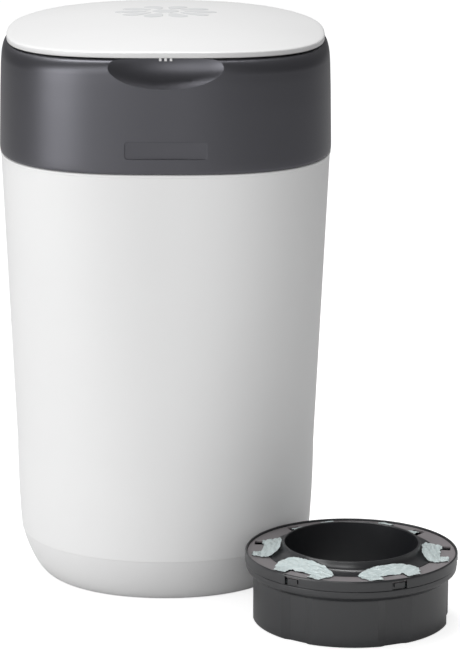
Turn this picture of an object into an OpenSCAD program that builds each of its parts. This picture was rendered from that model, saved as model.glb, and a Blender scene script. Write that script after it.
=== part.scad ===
// Nappy bin with its refill cassette standing beside it.
//
// The tub carries a head on a rear hinge.  The head holds a turning carrier for the
// cassette, a cutter ring that slides round under it, and a domed lid on a rear pin.
// Millimetres.  Origin on the floor under the middle of the tub, +Z up, front at -Y.

/* [Bin outline] */
// Overall width across the collar
width = 270; // [230:1:300]
// Depth of every level as a share of its width
depth_ratio = 0.963; // [0.90:0.001:1.0]
// Height of the parting line between tub and collar
seam_z = 362; // [300:1:400]
// Height of the lid's lower edge at the front, above the parting line
lid_rise = 92; // [80:0.1:120]
// How far the lid and shoulder fall towards the sides
side_droop = 4.2; // [0:0.1:7]
// Height of the dome above the lid's lower edge
lid_crown = 12; // [8:0.1:16]
// Height of the lid's upright edge
lid_edge = 4.8; // [3:0.1:6]
// How far the foot stays inside the collar's side
foot_in = 36.5; // [30:0.1:42]
// Height of the base band
band_z = 37; // [25:1:50]
// How far the top of the base band stays inside the collar's side
band_in = 14.7; // [13:0.1:25]
// Height where the flare of the tub ends and its straight taper starts
belly_z = 110; // [80:1:150]
// How far the tub stays inside the collar's side at that height
belly_in = 11.7; // [8:0.1:14]
// How far the tub's rim stays inside the collar's side
rim_in = 0.5; // [0.3:0.1:3]
// Corner exponent of the tub's section near the floor, 2 being an ellipse
low_square = 2.08; // [2:0.01:2.6]
// Corner exponent at the parting line
high_square = 2.76; // [2.2:0.01:3.2]
// Corner exponent of the lid
lid_square = 2.5; // [2.2:0.01:3.0]
// Wall of the tub
tub_wall = 2.4; // [2:0.1:4]
// Thickness of the tub's floor above the recess
floor_thick = 2.6; // [2:0.1:5]
// Width of the flat ring the tub stands on
foot_ring = 14.5; // [8:0.1:20]
// Depth of the round recess inside that ring
recess_depth = 2; // [1:0.1:3]
// Flats round every superellipse
segments = 64; // [48:4:72]

/* [Finger scoop and plate] */
// Radius of the round-bottomed scoop
scoop_r = 23.5; // [20:0.1:26]
// Half length of the scoop along the front
scoop_half = 57.4; // [50:0.1:64]
// How far the scoop's axis lies in front of the collar
scoop_ahead = 10.5; // [9:0.1:13]
// How far the scoop's axis lies under the lid's edge
scoop_drop = 2.8; // [2:0.1:8]
// Wall behind the scoop
scoop_wall = 3.2; // [2.6:0.1:4]
// Width of the bare name plate recess
plate_width = 65; // [50:1:80]
// Height of that recess
plate_height = 14; // [10:0.5:20]
// Height of its middle above the parting line
plate_rise = 19; // [14:0.5:30]
// Depth of that recess
plate_depth = 1.7; // [1.2:0.1:2]

/* [Refill cassette] */
// How far the cassette's clip band stays inside the collar's side
clip_room = 49.4; // [47:0.1:56]
// How far the tray's wall stays inside the clip band
tray_step = 6.3; // [5.5:0.1:8]
// How far the tube's wall stays inside the clip band
tube_step = 30.2; // [29:0.1:36]
// Height of the cassette
cassette_height = 64; // [60:0.5:68]
// Height of the tray's upright wall
tray_height = 39; // [35:0.5:40]
// Wall of the cassette's mouldings
cassette_wall = 1.8; // [1.5:0.1:2.2]
// Number of clips, gates and flutes round it, and of drive keys in the carrier
key_count = 6; // [4:1:6]
// Direction in which it stands from the tub, turned from the right-hand side
stand_angle = -44; // [-80:1:-10]
// Gap left between it and the tub
stand_gap = 0.8; // [0.6:0.1:20]
// Direction its first clip faces, turned from the right-hand side
cassette_turn = -63.4; // [-90:0.1:-30]

/* [Head mechanism] */
// How far the rotor housing's bore stands out past the clip band
rotor_room = 8.9; // [8:0.1:11]
// Wall of the rotor housing
housing_wall = 2.5; // [2:0.1:4]
// Free gap between bodies that move past each other
gap = 0.5; // [0.4:0.05:0.6]
// Gap left where one piece of a body is pressed into another
seat = 0.1; // [0.05:0.01:0.2]
// Radial clearance of a hinge pin in the part that turns on it
pin_fit = 0.05; // [0.02:0.01:0.1]
// Radius of the pin between tub and head
tilt_pin_r = 2.5; // [2:0.1:3]
// Radius of the lid's pin
lid_pin_r = 2; // [1.5:0.1:2.2]
// Number of click notches round the carrier
notch_count = 24; // [12:6:36]
// Travel of the cutter's push button
cutter_travel = 5; // [3:0.1:6]

/* [Hidden] */
$fn = 96;
seam_half = width / 2;
eps = 0.01;
// How far a cut runs past the face it opens
over = 1;

// lid and lip outlines
lid_z = seam_z + lid_rise;
lid_half = seam_half - 5.6;
lip_half = lid_half - 5.9;

// tub
foot_half = seam_half - foot_in;
band_half = seam_half - band_in;
belly_half = seam_half - belly_in;
rim_half = seam_half - rim_in;
recess_r = foot_half - foot_ring;
// Exponents of the foot's rounding, upwards and outwards
foot_up = 1.4;
foot_out = 1.6;
// Inward step under the band's upper edge
band_step = 0.5;
spigot_half = seam_half - 4.3;
spigot_wall = 2.3;
spigot_tall = 9;
spigot_top = seam_z + spigot_tall;
spigot_bevel = 0.8;
// The rim's bead, as rows of [outward of the rim, above the parting line]
rim_bead = [[0.5, -2.4], [0.3, -1.2], [-0.6, -0.6]];
rim_low = 0.5;
// Where the inside of the tub changes slope, below the parting line and above the band
rim_inside = 9;
neck_inside = 2;
band_inside = 8;
// Shares of the band's height at which the foot's inside has its rings
foot_inside = [0.45, 0.2];
// Shares of each height at which the outside has its rings
foot_steps = [0, 0.02, 0.07, 0.15, 0.28, 0.45, 0.7, 1];
flare_steps = [0.01, 0.12, 0.3, 0.6, 1];
body_steps = [0.33, 0.66, 0.985];

// collar, as rows of [outward of the collar's side, above the parting line]
collar_foot = [[-0.4, 0], [0.2, 0.8], [0.3, 2.5], [0.1, 20], [-0.5, 50]];
// its shoulder, as rows of [outward of the side, above the lid's edge, exponent]
shoulder = [[-1.6, -10.2, high_square], [-2.3, -6.2, 2.68], [-3.6, -3.4, 2.62],
            [-5.4, -1.7, 2.58], [-7.6, -1, 2.54]];
// its inside, as rows of [outward of the side, above the lid's edge]
collar_inside = [[-3.7, -21], [-3.4, -29], [-3.1, -38]];
// its foot inside, as rows of [outward of the side, above the parting line]
collar_inner_foot = [[-2.9, 12], [-3, 0]];
collar_waist = [-1.1, -20];
lip_low = 1;
lip_drop = 9.2;
lip_step = [2.6, -4.6];
lip_under = 1.5;
// How much nearer the scoop the ledge comes than the rest of the inside
ledge_near = -0.4;

gasket_gap = 0.4;
gasket_tall = 2;
gasket_in = 3.1;

// deck
deck_thick = 3;
deck_top = lid_z - lip_drop;
deck_z = deck_top - deck_thick;
deck_half = lip_half + 2.2;
plate_round = 2.5;
plate_face_y = (seam_half + 0.2) * depth_ratio;

// scoop
scoop_face = seam_half - 1.8;
scoop_y = -scoop_face * depth_ratio - scoop_ahead;
scoop_z = lid_z - scoop_drop;
scoop_back = scoop_y + scoop_r + scoop_wall;

// hinges
tilt_y = seam_half * depth_ratio + 7;
tilt_z = seam_z - 5;
tilt_barrel = tilt_pin_r + 3;
pin_head = 1.6;
pin_flange = 1;
knuckle_half = 20;
knuckle_web = [8.6, 3.6];
knuckle_foot = 6.2;
knuckle_top = 12;
knuckle_low = 0.4;
ear_wide = 12;
ear_inner = knuckle_half + gap;
ear_outer = ear_inner + ear_wide;
ear_root = seam_half * depth_ratio - 2.6;
ear_heel = 3;
// The ear's outline behind the pin, as rows of [backwards, upwards]
ear_lobe = [[4.5, -3.2], [2, 4]];
ear_drop = 18;
ear_top = 0.9;
lid_pin_y = lip_half * depth_ratio + 3.1;
lid_pin_z = deck_z;
lid_barrel = lid_pin_r + 2.4;
arm_x = 31;
arm_wide = 8;
arm_back = 9.6;
arm_neck = 3.8;
arm_root = 1;
slot_wide = arm_wide + 2 * gap + 2;
slot_ahead = 12;
boss_half = 41;
block_front = 7;
block_back = 4.2;
block_under = 1.6;
block_over = 0.6;
arm_places = [-arm_x, arm_x];

// rotor housing
clip_r = seam_half - clip_room;
housing_bore = clip_r + rotor_room;
housing_tall = 70;
housing_floor = deck_z - housing_tall;
housing_lip = 3;
flange_wide = 7;
screw_ring = 6;
screw_r = 1.5;
screw_free = 0.1;
screw_head_r = 3;
screw_head = 1.6;
screw_short = 0.6;
tongue_half = 4;
click_count = 3;

// carrier, from its foot upwards
tray_r = clip_r - tray_step;
tube_r = clip_r - tube_step;
tray_play = 1.9;
clip_play = 2.4;
ledge_drop = 20;
carrier_foot = housing_floor + housing_lip + gap;
carrier_ledge = deck_top - ledge_drop;
carrier_bore = tray_r + tray_play;
carrier_mouth = clip_r + clip_play;
carrier_wall = 2.6;
carrier_flange = 3;
carrier_band = housing_bore - gap - seat;
carrier_low = 0.4;
carrier_top = deck_top - carrier_low;
track_low = 11;
track_z = deck_top - track_low;
track_tall = 4;
track_r = housing_bore - 1.3;
key_deep = 2.5;
key_root = 0.6;
key_wide = 14;
key_low = 8;
key_short = 6;
key_high = carrier_ledge - carrier_foot - key_short;
notch_r = 1.5;
notch_deep = 0.8;

// grip ring on the carrier
grip_thick = 2.7;
grip_out = housing_bore - seat;
grip_step = 0.2;
grip_round = 1;
lug_count = 4;
lug_long = 12;
lug_thick = 3;
lug_tall = 2;

// cutter, below the housing
hang_r = housing_bore - 10.5;
hang_wall = 2.5;
hang_drop = 8;
hook_out = 2;
hook_thick = 1.2;
ring_wide = 6;
cutter_in = hang_r + hang_wall + gap;
cutter_out = cutter_in + ring_wide;
cutter_z = housing_floor - hang_drop + hook_thick + gap;
cutter_tall = hang_drop - hook_thick - 2 * gap;
arm_out = cutter_out - 0.5;
arm_clear = 3;
arm_in = tube_r + arm_clear;
arm_tall = 6;
arm_top = housing_floor - hang_drop - gap;
arm_low = arm_top - arm_tall;
arm_half = 8;
arm_stem = 2.6;
rod_half = 3;
rod_tall = 2.4;
rod_low = 1.8;
rod_back = 0.5;
pad_thick = 3;
pad_over = 1;
blade_thick = 0.8;
blade_root = 4;
blade_long = 9;

// lid
lid_wall = 2.2;
dome_power = 2.2;
// Shares of the half width at which the dome has its rings, inside and outside
dome_inside = [0.3, 0.55, 0.78, 0.93];
dome_outside = [0.985, 0.95, 0.87, 0.72, 0.5, 0.25];
// The lid's edge, as rows of [outward of the lid's side, above its edge]
lid_lip = [[-3.4, 2.2], [-2.8, 0], [-1.4, 0], [-0.3, 0.4], [0, 1.3],
           [0, lid_edge - 1.4], [-0.3, lid_edge - 0.3]];
seal_gap = 0.4;
seal_thick = 0.5;
seal_wide = 1.3;
boss_r = 4;
boss_x = 70;
boss_y = 58;
boss_tall = lid_edge + 3.6;
boss_bore = 5.2;
boss_places = [for (sx = [-1, 1], sy = [-1, 1]) [sx * boss_x, sy * boss_y]];
liner_drop = 4.2;
liner_floor = lid_z - liner_drop;
liner_thick = 2;
liner_rim = 1.3;
liner_lap = 1.7;
liner_slope = 3;
well_in = 11;
screw_sunk = 1.2;
screw_grip = 3;
keeper_front = scoop_back + 2.4;
keeper_back = -housing_bore - 3.4;
keeper_half = 9;
keeper_slot = 5.6;
keeper_edge = [1.8, 2.2];
keeper_tall = 1.8;
tongue_thick = 1;
tongue_low = 0.6;
grip_pitch = 4.2;
grip_half = 1;
grip_in = [1.4, 3.4];
grip_drop = 2.4;
touch = 0.05;

// cassette, from its foot upwards
bore_r = tube_r - cassette_wall;
tray_floor = 2;
tray_lip = 1.6;
flute_deep = 2.3;
flute_wide = 32;
flute_slope = 6.5;
tray_in = tray_r - flute_deep - cassette_wall;
tray_round = 2;
clip_in = clip_r - cassette_wall;
flange_tall = 9.3;
flange_top = tray_height + flange_tall;
flange_r = clip_r - 0.8;
flange_in = clip_in - 2.4;
// The flange's underside, as rows of [outward of the tray's wall, above it]
flange_curve = [[0, 0], [0.8, 0.3], [1.9, 1.2], [4.3, 3]];
flange_low = 5;
flange_floor = 1.5;
flange_inside = 6;
bevel = 0.6;
clip_z = flange_top + 0.2;
rim_stand = 6.7;
clip_top = cassette_height - rim_stand;
clip_round = 1.4;
cap_sunk = 1.6;
cap_thick = 1.5;
cap_z = clip_top - cap_sunk - cap_thick;
ledge_in = 2;
ledge_thick = 1;
ledge_cone = 2.4;
window_half = 6.5;
window_roof = 1.3;
tongue_side = 1;
tongue_in = clip_in - 2.2;
tongue_wall = 1.6;
tongue_top = cap_z - 0.4;
hook_tall = 4.1;
hook_proud = 0.3;
pack_top = cap_z - 0.8;

// tube with its flare, and the gates beside it
flare_r = tube_r + 12.6;
flare_edge = 0.5;
// The flare's top, as rows of [outward of the tube, below the tube's rim]
flare_curve = [[0, 0], [0.7, 1.6], [2.4, 4.4], [6.2, 6.8]];
// Its underside, as rows of [outward of the tube, above the cap's underside]
flare_under = [[5, 1.2], [1, 2.8], [0, 3.4]];
flare_heel = 2.2;
heel_tall = 0.4;
gate_in = tube_r + 6.8;
gate_out = flare_r + 3.4;
gate_half = 20;
leg_x = 15;
leg_half = 5;
leg_out = clip_in - 4.6;
gate_tall = 6;
tuft_tall = 4.1;
tuft_free = 0.2;

// Half width of the tub's section in a direction, at a height.
function section_r(angle, z) =
    tub_half(z) / pow(pow(abs(cos(angle)), square_at(z)) + pow(abs(sin(angle)) / depth_ratio, square_at(z)),
                      1 / square_at(z));

// A point of a superellipse with half width h, exponent n, at angle t.
function se_point(h, n, t) =
    [h * sign(cos(t)) * pow(abs(cos(t)), 2 / n),
     h * depth_ratio * sign(sin(t)) * pow(abs(sin(t)), 2 / n)];

// A closed outline of such points.
function se_outline(h, n) = [for (i = [0 : segments - 1]) se_point(h, n, 360 * i / segments)];

// The same outline as a ring in space, falling by droop at the lid's half width.
function ring(h, n, z, droop = 0) =
    [for (p = se_outline(h, n)) [p[0], p[1], z - droop * pow(p[0] / lid_half, 2)]];

// Rings from rows of [half width, height, exponent, droop].
function rings(rows) = [for (r = rows) ring(r[0], r[2], r[1], r[3])];

// A table of [outward, upward] as rows of rings round a side and a height.
function rows_of(table, side, z, n, droop = 0) = [for (t = table) [side + t[0], z + t[1], n, droop]];

// Points of a table of [outward, upward] in a section.
function points_of(table, r, z, up = 1) = [for (t = table) [r + t[0], z + up * t[1]]];

// A closed skin through rings, capped at both ends or joined end to end.
module skin(loops, joined = false) {
    around = len(loops[0]);
    count = len(loops);
    steps = joined ? count : count - 1;
    low = [0, 0, loops[0][around / 4][2]];
    high = [0, 0, loops[count - 1][around / 4][2]];
    sides = [for (i = [0 : steps - 1], j = [0 : around - 1])
        let (a = i * around, b = ((i + 1) % count) * around, k = (j + 1) % around)
        each [[a + j, b + j, b + k], [a + j, b + k, a + k]]];
    last = (count - 1) * around;
    caps = joined ? [] : [for (j = [0 : around - 1]) let (k = (j + 1) % around)
        each [[count * around, j, k], [count * around + 1, last + k, last + j]]];
    polyhedron([for (loop = loops) each loop, each joined ? [] : [low, high]],
               concat(sides, caps));
}

// Points of a rectangle with round corners.
function round_rect(w, h, r) =
    [for (q = [0 : 3], t = [0 : 22.5 : 90])
        [(w / 2 - r) * (q == 0 || q == 3 ? 1 : -1) + r * cos(q * 90 + t),
         (h / 2 - r) * (q < 2 ? 1 : -1) + r * sin(q * 90 + t)]];

// Corner exponent of the section at a height, easing from foot to seam.
function square_at(z) =
    let (t = max(0, min(1, (z - band_z) / (seam_z - band_z))))
    low_square + (high_square - low_square) * t * t * (3 - 2 * t);

// Half width of the foot's rounding at a height below the band's upper edge.
function foot_at(z) =
    foot_half + (band_half - band_step - foot_half)
        * pow(1 - pow(max(0, 1 - z / band_z), foot_up), 1 / foot_out);

// Half width of the tub's outside at a height.
function tub_half(z) =
    z < band_z ? foot_at(z)
    : z < belly_z ? belly_half - (belly_half - band_half) * pow((belly_z - z) / (belly_z - band_z), 2)
    : belly_half + (rim_half - belly_half) * (z - belly_z) / (seam_z - belly_z);

module along_x(from, to) translate([from, 0, 0]) rotate([90, 0, 90]) linear_extrude(to - from) children();

module rod_x(r, from, to, y, z) translate([from, y, z]) rotate([0, 90, 0]) cylinder(h = to - from, r = r);

module slab(x, y, z) translate([x[0], y[0], z[0]]) cube([x[1] - x[0], y[1] - y[0], z[1] - z[0]]);

module tube_ring(r_in, r_out, z, tall) rotate_extrude() translate([r_in, z]) square([r_out - r_in, tall]);

module around(count, r, start = 0)
    for (i = [0 : count - 1]) rotate([0, 0, start + 360 * i / count]) translate([r, 0, 0]) children();

// The scoop's body of revolution, grown by a margin.
module scoop_shape(grow = 0)
    translate([0, scoop_y, scoop_z]) rotate([0, 90, 0]) rotate_extrude()
        polygon([for (u = [-90 : 7.5 : 90]) [(scoop_r + grow) * cos(u), (scoop_half + grow) * sin(u)]]);

// ---- tub -------------------------------------------------------------------

module tub_shell() {
    foot_rows = [for (s = foot_steps)
        [tub_half(s * band_z - (s == 1 ? eps : 0)), s * band_z, low_square, 0]];
    flare_rows = [for (s = flare_steps)
        let (z = band_z + s * (belly_z - band_z)) [tub_half(z), z, square_at(z), 0]];
    body_rows = [for (s = body_steps)
        let (z = belly_z + s * (seam_z - belly_z)) [tub_half(z), z, square_at(z), 0]];
    spigot_rows = [[spigot_half, seam_z - rim_low, high_square, 0],
                   [spigot_half, spigot_top - spigot_bevel, high_square, 0],
                   [spigot_half - spigot_bevel, spigot_top, high_square, 0]];
    neck = spigot_half - spigot_wall;
    inner_rows = [[neck, spigot_top, high_square, 0], [neck, seam_z - neck_inside, high_square, 0],
                  [rim_half - tub_wall, seam_z - rim_inside, high_square, 0],
                  [tub_half(belly_z) - tub_wall, belly_z, square_at(belly_z), 0],
                  [tub_half(band_z) - tub_wall, band_z + band_inside, low_square, 0]];
    well_rows = [for (s = foot_inside)
        [tub_half(s * band_z) - tub_wall, s * band_z + floor_thick / 2, low_square, 0]];
    floor_rows = [[foot_half - tub_wall, floor_thick + recess_depth, low_square, 0]];
    bead_rows = rows_of(rim_bead, rim_half, seam_z, high_square);
    color("white")
        difference() {
            union() {
                skin(rings(concat(foot_rows, flare_rows, body_rows, bead_rows, spigot_rows,
                                  inner_rows, well_rows, floor_rows)));
                tilt_ears();
            }
            translate([0, 0, -over]) cylinder(h = recess_depth + over, r = recess_r);
            rod_x(tilt_pin_r, -ear_outer - over, ear_outer + over, tilt_y, tilt_z);
        }
}

// Two ears behind the tub that hold the tilt pin.
module tilt_ears()
    for (side = [-1, 1])
        along_x(min(side * ear_inner, side * ear_outer), max(side * ear_inner, side * ear_outer))
            union() {
                translate([tilt_y, tilt_z]) circle(r = tilt_barrel);
                polygon([[ear_root, tilt_z - ear_drop], [ear_root + ear_heel, tilt_z - ear_drop],
                         [tilt_y + ear_lobe[0][0], tilt_z + ear_lobe[0][1]],
                         [tilt_y + ear_lobe[1][0], tilt_z + ear_lobe[1][1]],
                         [tilt_y - ear_heel, seam_z - ear_top], [ear_root, seam_z - ear_top]]);
            }

module tilt_pin() {
    head = ear_outer + pin_head;
    color("silver") {
        rod_x(tilt_pin_r, -ear_outer, ear_outer, tilt_y, tilt_z);
        for (side = [-1, 1])
            rod_x(tilt_pin_r + pin_flange, min(side * ear_outer, side * head),
                  max(side * ear_outer, side * head), tilt_y, tilt_z);
    }
}

// ---- head ------------------------------------------------------------------

// Pushes the front of a ring back behind the scoop.
function behind_scoop(loop, extra) =
    [for (p = loop)
        let (r = scoop_r * sqrt(max(0, 1 - pow(p[0] / scoop_half, 2))) + scoop_wall + extra,
             back = scoop_y + sqrt(max(0, r * r - pow(p[2] - scoop_z, 2))))
        p[1] < 0 ? [p[0], max(p[1], back), p[2]] : p];

// Rings of the collar's outside, from its foot to the lip beside the lid.
function collar_outside() = concat(
    rows_of(collar_foot, seam_half, seam_z, high_square),
    rows_of([collar_waist], seam_half, lid_z, high_square, side_droop / 2),
    [for (t = shoulder) [seam_half + t[0], lid_z + t[1], t[2], side_droop]]);

// Rings of its inside, each with how much nearer the scoop it comes.
function collar_lining() = concat(
    [[lip_half, lid_z - lip_low, lid_square, side_droop, 0], [lip_half, deck_top, lid_square, 0, 0],
     [lip_half + lip_step[0], deck_top, lid_square, 0, ledge_near],
     [seam_half + lip_step[1], deck_top - lip_under, high_square, 0, ledge_near]],
    [for (k = [0 : len(collar_inside) - 1])
        [seam_half + collar_inside[k][0], lid_z + collar_inside[k][1], high_square,
         k == 0 ? side_droop / 2 : 0, 0]],
    [for (t = collar_inner_foot) [seam_half + t[0], seam_z + t[1], high_square, 0, 0]]);

module collar() {
    lining = [for (r = collar_lining()) behind_scoop(ring(r[0], r[2], r[1], r[3]), r[4])];
    color("dimgray")
        difference() {
            union() {
                skin(concat(rings(collar_outside()), lining), joined = true);
                tilt_knuckle();
                slab([-boss_half, boss_half], [lid_pin_y - block_front, lid_pin_y + block_back],
                     [lid_pin_z - lid_barrel - block_under, deck_top + block_over]);
            }
            scoop_shape();
            name_plate();
            rod_x(tilt_pin_r + pin_fit, -knuckle_half - over, knuckle_half + over, tilt_y, tilt_z);
            rod_x(lid_pin_r, -boss_half - over, boss_half - lid_pin_r, lid_pin_y, lid_pin_z);
            for (x = arm_places)
                slab([x - slot_wide / 2, x + slot_wide / 2], [lid_pin_y - slot_ahead, tilt_y],
                     [lid_pin_z - lid_barrel - block_under - seat, lid_z + over]);
        }
}

// The head's half of the tilt hinge, between the tub's ears.
module tilt_knuckle()
    along_x(-knuckle_half, knuckle_half) union() {
        translate([tilt_y, tilt_z]) circle(r = tilt_barrel);
        polygon([[tilt_y - knuckle_web[0], seam_z + knuckle_top],
                 [tilt_y - knuckle_web[1], seam_z + knuckle_top],
                 [tilt_y + tilt_barrel, tilt_z + tilt_barrel / 2], [tilt_y + tilt_barrel, tilt_z],
                 [tilt_y - tilt_barrel, tilt_z], [tilt_y - knuckle_foot, seam_z + knuckle_low],
                 [tilt_y - knuckle_web[0], seam_z + knuckle_low]]);
    }

// Shallow bare recess for a name plate, low on the front of the collar.
module name_plate()
    translate([0, -plate_face_y + plate_depth, seam_z + plate_rise]) rotate([90, 0, 0])
        linear_extrude(plate_height) polygon(round_rect(plate_width, plate_height, plate_round));

// Inner frame under the collar's lip, with the round opening for the grip ring.
module deck()
    color("dimgray")
        difference() {
            translate([0, 0, deck_z]) linear_extrude(deck_thick) polygon(se_outline(deck_half, lid_square));
            translate([0, 0, deck_z - over])
                cylinder(h = deck_thick + 2 * over, r = grip_out + gap + seat);
            scoop_shape(scoop_wall + 2 * gap);
            slab([-boss_half - seat, boss_half + seat], [lid_pin_y - block_front - seat, tilt_y],
                 [deck_z - over, deck_top + over]);
            for (p = housing_screw_places())
                translate([p[0], p[1], deck_z - over])
                    cylinder(h = deck_thick + 2 * over, r = screw_r - seat);
        }

// Six screw places round the housing's flange, clear of the scoop and the pin block.
function housing_screw_places() =
    [for (i = [0 : 5]) let (a = 30 + 60 * i, r = housing_bore + screw_ring) [r * cos(a), r * sin(a)]];

// Fixed drum that guides the carrier and hangs the cutter ring.
module rotor_housing() {
    out = housing_bore + housing_wall;
    hang_out = hang_r + hang_wall;
    low = housing_floor - hang_drop;
    flange_z = deck_z - housing_lip;
    inside = housing_floor + housing_lip;
    color("gray")
        difference() {
            rotate_extrude()
                polygon([[hang_r, low], [hang_out + hook_out, low],
                         [hang_out + hook_out, low + hook_thick], [hang_out, low + hook_thick],
                         [hang_out, housing_floor], [out, housing_floor],
                         [out, flange_z], [out + flange_wide, flange_z],
                         [out + flange_wide, deck_z], [housing_bore, deck_z],
                         [housing_bore, inside], [hang_r, inside]]);
            for (p = housing_screw_places())
                translate([p[0], p[1], flange_z - over])
                    cylinder(h = housing_lip + 2 * over, r = screw_r + screw_free);
        }
}

// Screws that hold the housing's flange up against the deck.
module housing_screws()
    color("silver")
        for (p = housing_screw_places())
            translate([p[0], p[1], deck_z - housing_lip - screw_head]) {
                cylinder(h = screw_head, r = screw_head_r);
                cylinder(h = screw_head + housing_lip + deck_thick - screw_short, r = screw_r - seat);
            }

// Spring tongues that click over the carrier's notches.
module click_tongues() {
    tip = track_r + gap;
    color("dimgray")
        around(click_count, 0, 90)
            slab([tip, housing_bore - seat], [-tongue_half, tongue_half],
                 [track_z + gap, track_z + track_tall - gap]);
}

module lid_pin()
    color("silver") rod_x(lid_pin_r, -boss_half + gap, boss_half - lid_pin_r, lid_pin_y, lid_pin_z);

// Soft ring inside the collar's foot that closes the joint to the tub.
module seam_gasket()
    color("black")
        difference() {
            translate([0, 0, spigot_top + gasket_gap]) linear_extrude(gasket_tall)
                polygon(se_outline(seam_half - gasket_in, high_square));
            translate([0, 0, spigot_top + gasket_gap - over]) linear_extrude(gasket_tall + 2 * over)
                polygon(se_outline(spigot_half - spigot_wall, high_square));
        }

// Keeper on the deck's front edge that the lid's catch snaps behind.
module catch_keeper()
    color("dimgray")
        difference() {
            slab([-keeper_half, keeper_half], [keeper_front - keeper_edge[0], keeper_back + keeper_edge[1]],
                 [deck_top, deck_top + keeper_tall]);
            slab([-keeper_slot, keeper_slot], [keeper_front, keeper_back],
                 [deck_top - over, deck_top + keeper_tall + over]);
        }

// ---- carrier ---------------------------------------------------------------

// Turning cup that the cassette drops into; its flange rests on the ledge.
module cassette_carrier() {
    neck = carrier_bore + carrier_wall;
    mouth = carrier_mouth + carrier_wall;
    color("silver") {
        difference() {
            rotate_extrude()
                polygon([[carrier_bore, carrier_foot], [carrier_band, carrier_foot],
                         [carrier_band, carrier_foot + carrier_flange], [neck, carrier_foot + carrier_flange],
                         [neck, carrier_ledge - carrier_flange], [mouth, carrier_ledge - carrier_flange],
                         [mouth, track_z], [track_r, track_z],
                         [track_r, track_z + track_tall], [mouth, track_z + track_tall],
                         [mouth, carrier_top], [carrier_mouth, carrier_top],
                         [carrier_mouth, carrier_ledge], [carrier_bore, carrier_ledge]]);
            around(notch_count, track_r + notch_r - notch_deep)
                translate([0, 0, track_z - over]) cylinder(h = track_tall + 2 * over, r = notch_r);
        }
        around(key_count, carrier_bore - key_deep)
            slab([0, key_deep + key_root], [-key_wide / 2, key_wide / 2],
                 [carrier_foot + key_low, carrier_foot + key_high]);
    }
}

// Ring turned by hand, with four finger lugs.
module grip_ring() {
    z = carrier_top + seat;
    inner = carrier_mouth + grip_step;
    color("gainsboro") {
        rotate_extrude()
            polygon([[inner, z], [grip_out, z],
                     [grip_out, z + grip_thick - grip_round], [grip_out - grip_round, z + grip_thick],
                     [inner + grip_round, z + grip_thick], [inner, z + grip_thick - grip_round]]);
        around(lug_count, (carrier_mouth + grip_out) / 2, 45)
            slab([-lug_thick / 2, lug_thick / 2], [-lug_long / 2, lug_long / 2],
                 [z + grip_thick - grip_round, z + grip_thick + lug_tall]);
    }
}

// ---- cutter ----------------------------------------------------------------

// Ring that slides round under the housing, with a guide for the blade's slide.
module cutter_ring()
    color("gray")
        difference() {
            union() {
                tube_ring(cutter_in, cutter_out, cutter_z, cutter_tall);
                slab([-arm_half, arm_half], [-arm_out, -arm_in], [arm_low, arm_top]);
                slab([-arm_half, arm_half], [-arm_out, -arm_out + arm_stem], [arm_low, cutter_z + over]);
            }
            slab([-rod_half - gap, rod_half + gap], [-arm_out - over, -arm_in + over],
                 [arm_low + rod_low - gap, arm_low + rod_low + rod_tall + gap]);
        }

// Thumb pad and slide that push the blade towards the film.
module cutter_button() {
    pad = arm_out + cutter_travel + gap;
    tip = arm_in + rod_back - cutter_travel;
    color("orangered") {
        slab([-rod_half, rod_half], [-pad - pad_thick / 2, -tip],
             [arm_low + rod_low, arm_low + rod_low + rod_tall]);
        slab([-arm_half, arm_half], [-pad - pad_thick, -pad], [arm_low - pad_over, arm_top]);
    }
}

// Blade let into the end of the slide.
module cutter_blade() {
    tip = cutter_travel - arm_in - rod_back;
    color("lightgray")
        translate([0, 0, arm_low + rod_low + (rod_tall - blade_thick) / 2]) linear_extrude(blade_thick)
            polygon([[-rod_half, tip + seat], [rod_half, tip + seat], [rod_half, tip + blade_root],
                     [0, tip + blade_long], [-rod_half, tip + blade_root]]);
}

// ---- lid -------------------------------------------------------------------

// Height of the dome's outside at a share of its half width.
function dome_z(s) = lid_z + lid_edge + (lid_crown - lid_edge) * (1 - pow(s, dome_power));

// White dome over the head, a shell with a turned-down edge.
module lid_cover() {
    inner = [for (s = dome_inside) [lid_half * s, dome_z(s) - lid_wall, lid_square, side_droop]];
    outer = [for (s = dome_outside) [lid_half * s, dome_z(s), lid_square, side_droop]];
    color("white")
        difference() {
            union() {
                skin(rings(concat(inner, rows_of(lid_lip, lid_half, lid_z, lid_square, side_droop), outer)));
                for (p = boss_places)
                    translate([p[0], p[1], liner_floor + liner_thick + seat])
                        cylinder(h = boss_tall, r = boss_r);
            }
            for (p = boss_places)
                translate([p[0], p[1], liner_floor]) cylinder(h = boss_bore, r = screw_r - seat);
        }
}

// Tray under the dome, with the two arms that swing on the lid's pin.
module lid_liner() {
    rim_floor = lid_z - lip_low + seal_gap + seal_thick + seat;
    rim_top = lid_z + liner_rim;
    well = lip_half - well_in;
    rows = [[well, liner_floor, lid_square, 0],
            [well + liner_slope, rim_floor, lid_square, side_droop],
            [lip_half + liner_lap, rim_floor, lid_square, side_droop],
            [lip_half + liner_lap, rim_top, lid_square, side_droop],
            [well + liner_slope + liner_thick / 2, rim_top, lid_square, side_droop],
            [well - liner_thick / 2, liner_floor + liner_thick, lid_square, 0]];
    color("whitesmoke")
        difference() {
            union() {
                skin(rings(rows));
                for (x = arm_places) lid_arm(x);
            }
            rod_x(lid_pin_r + pin_fit, -boss_half, boss_half, lid_pin_y, lid_pin_z);
            for (p = boss_places) translate([p[0], p[1], liner_floor - over]) {
                cylinder(h = liner_thick + 2 * over, r = screw_r + seat);
                cylinder(h = screw_sunk + over, r = screw_head_r + seat);
            }
        }
}

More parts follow.
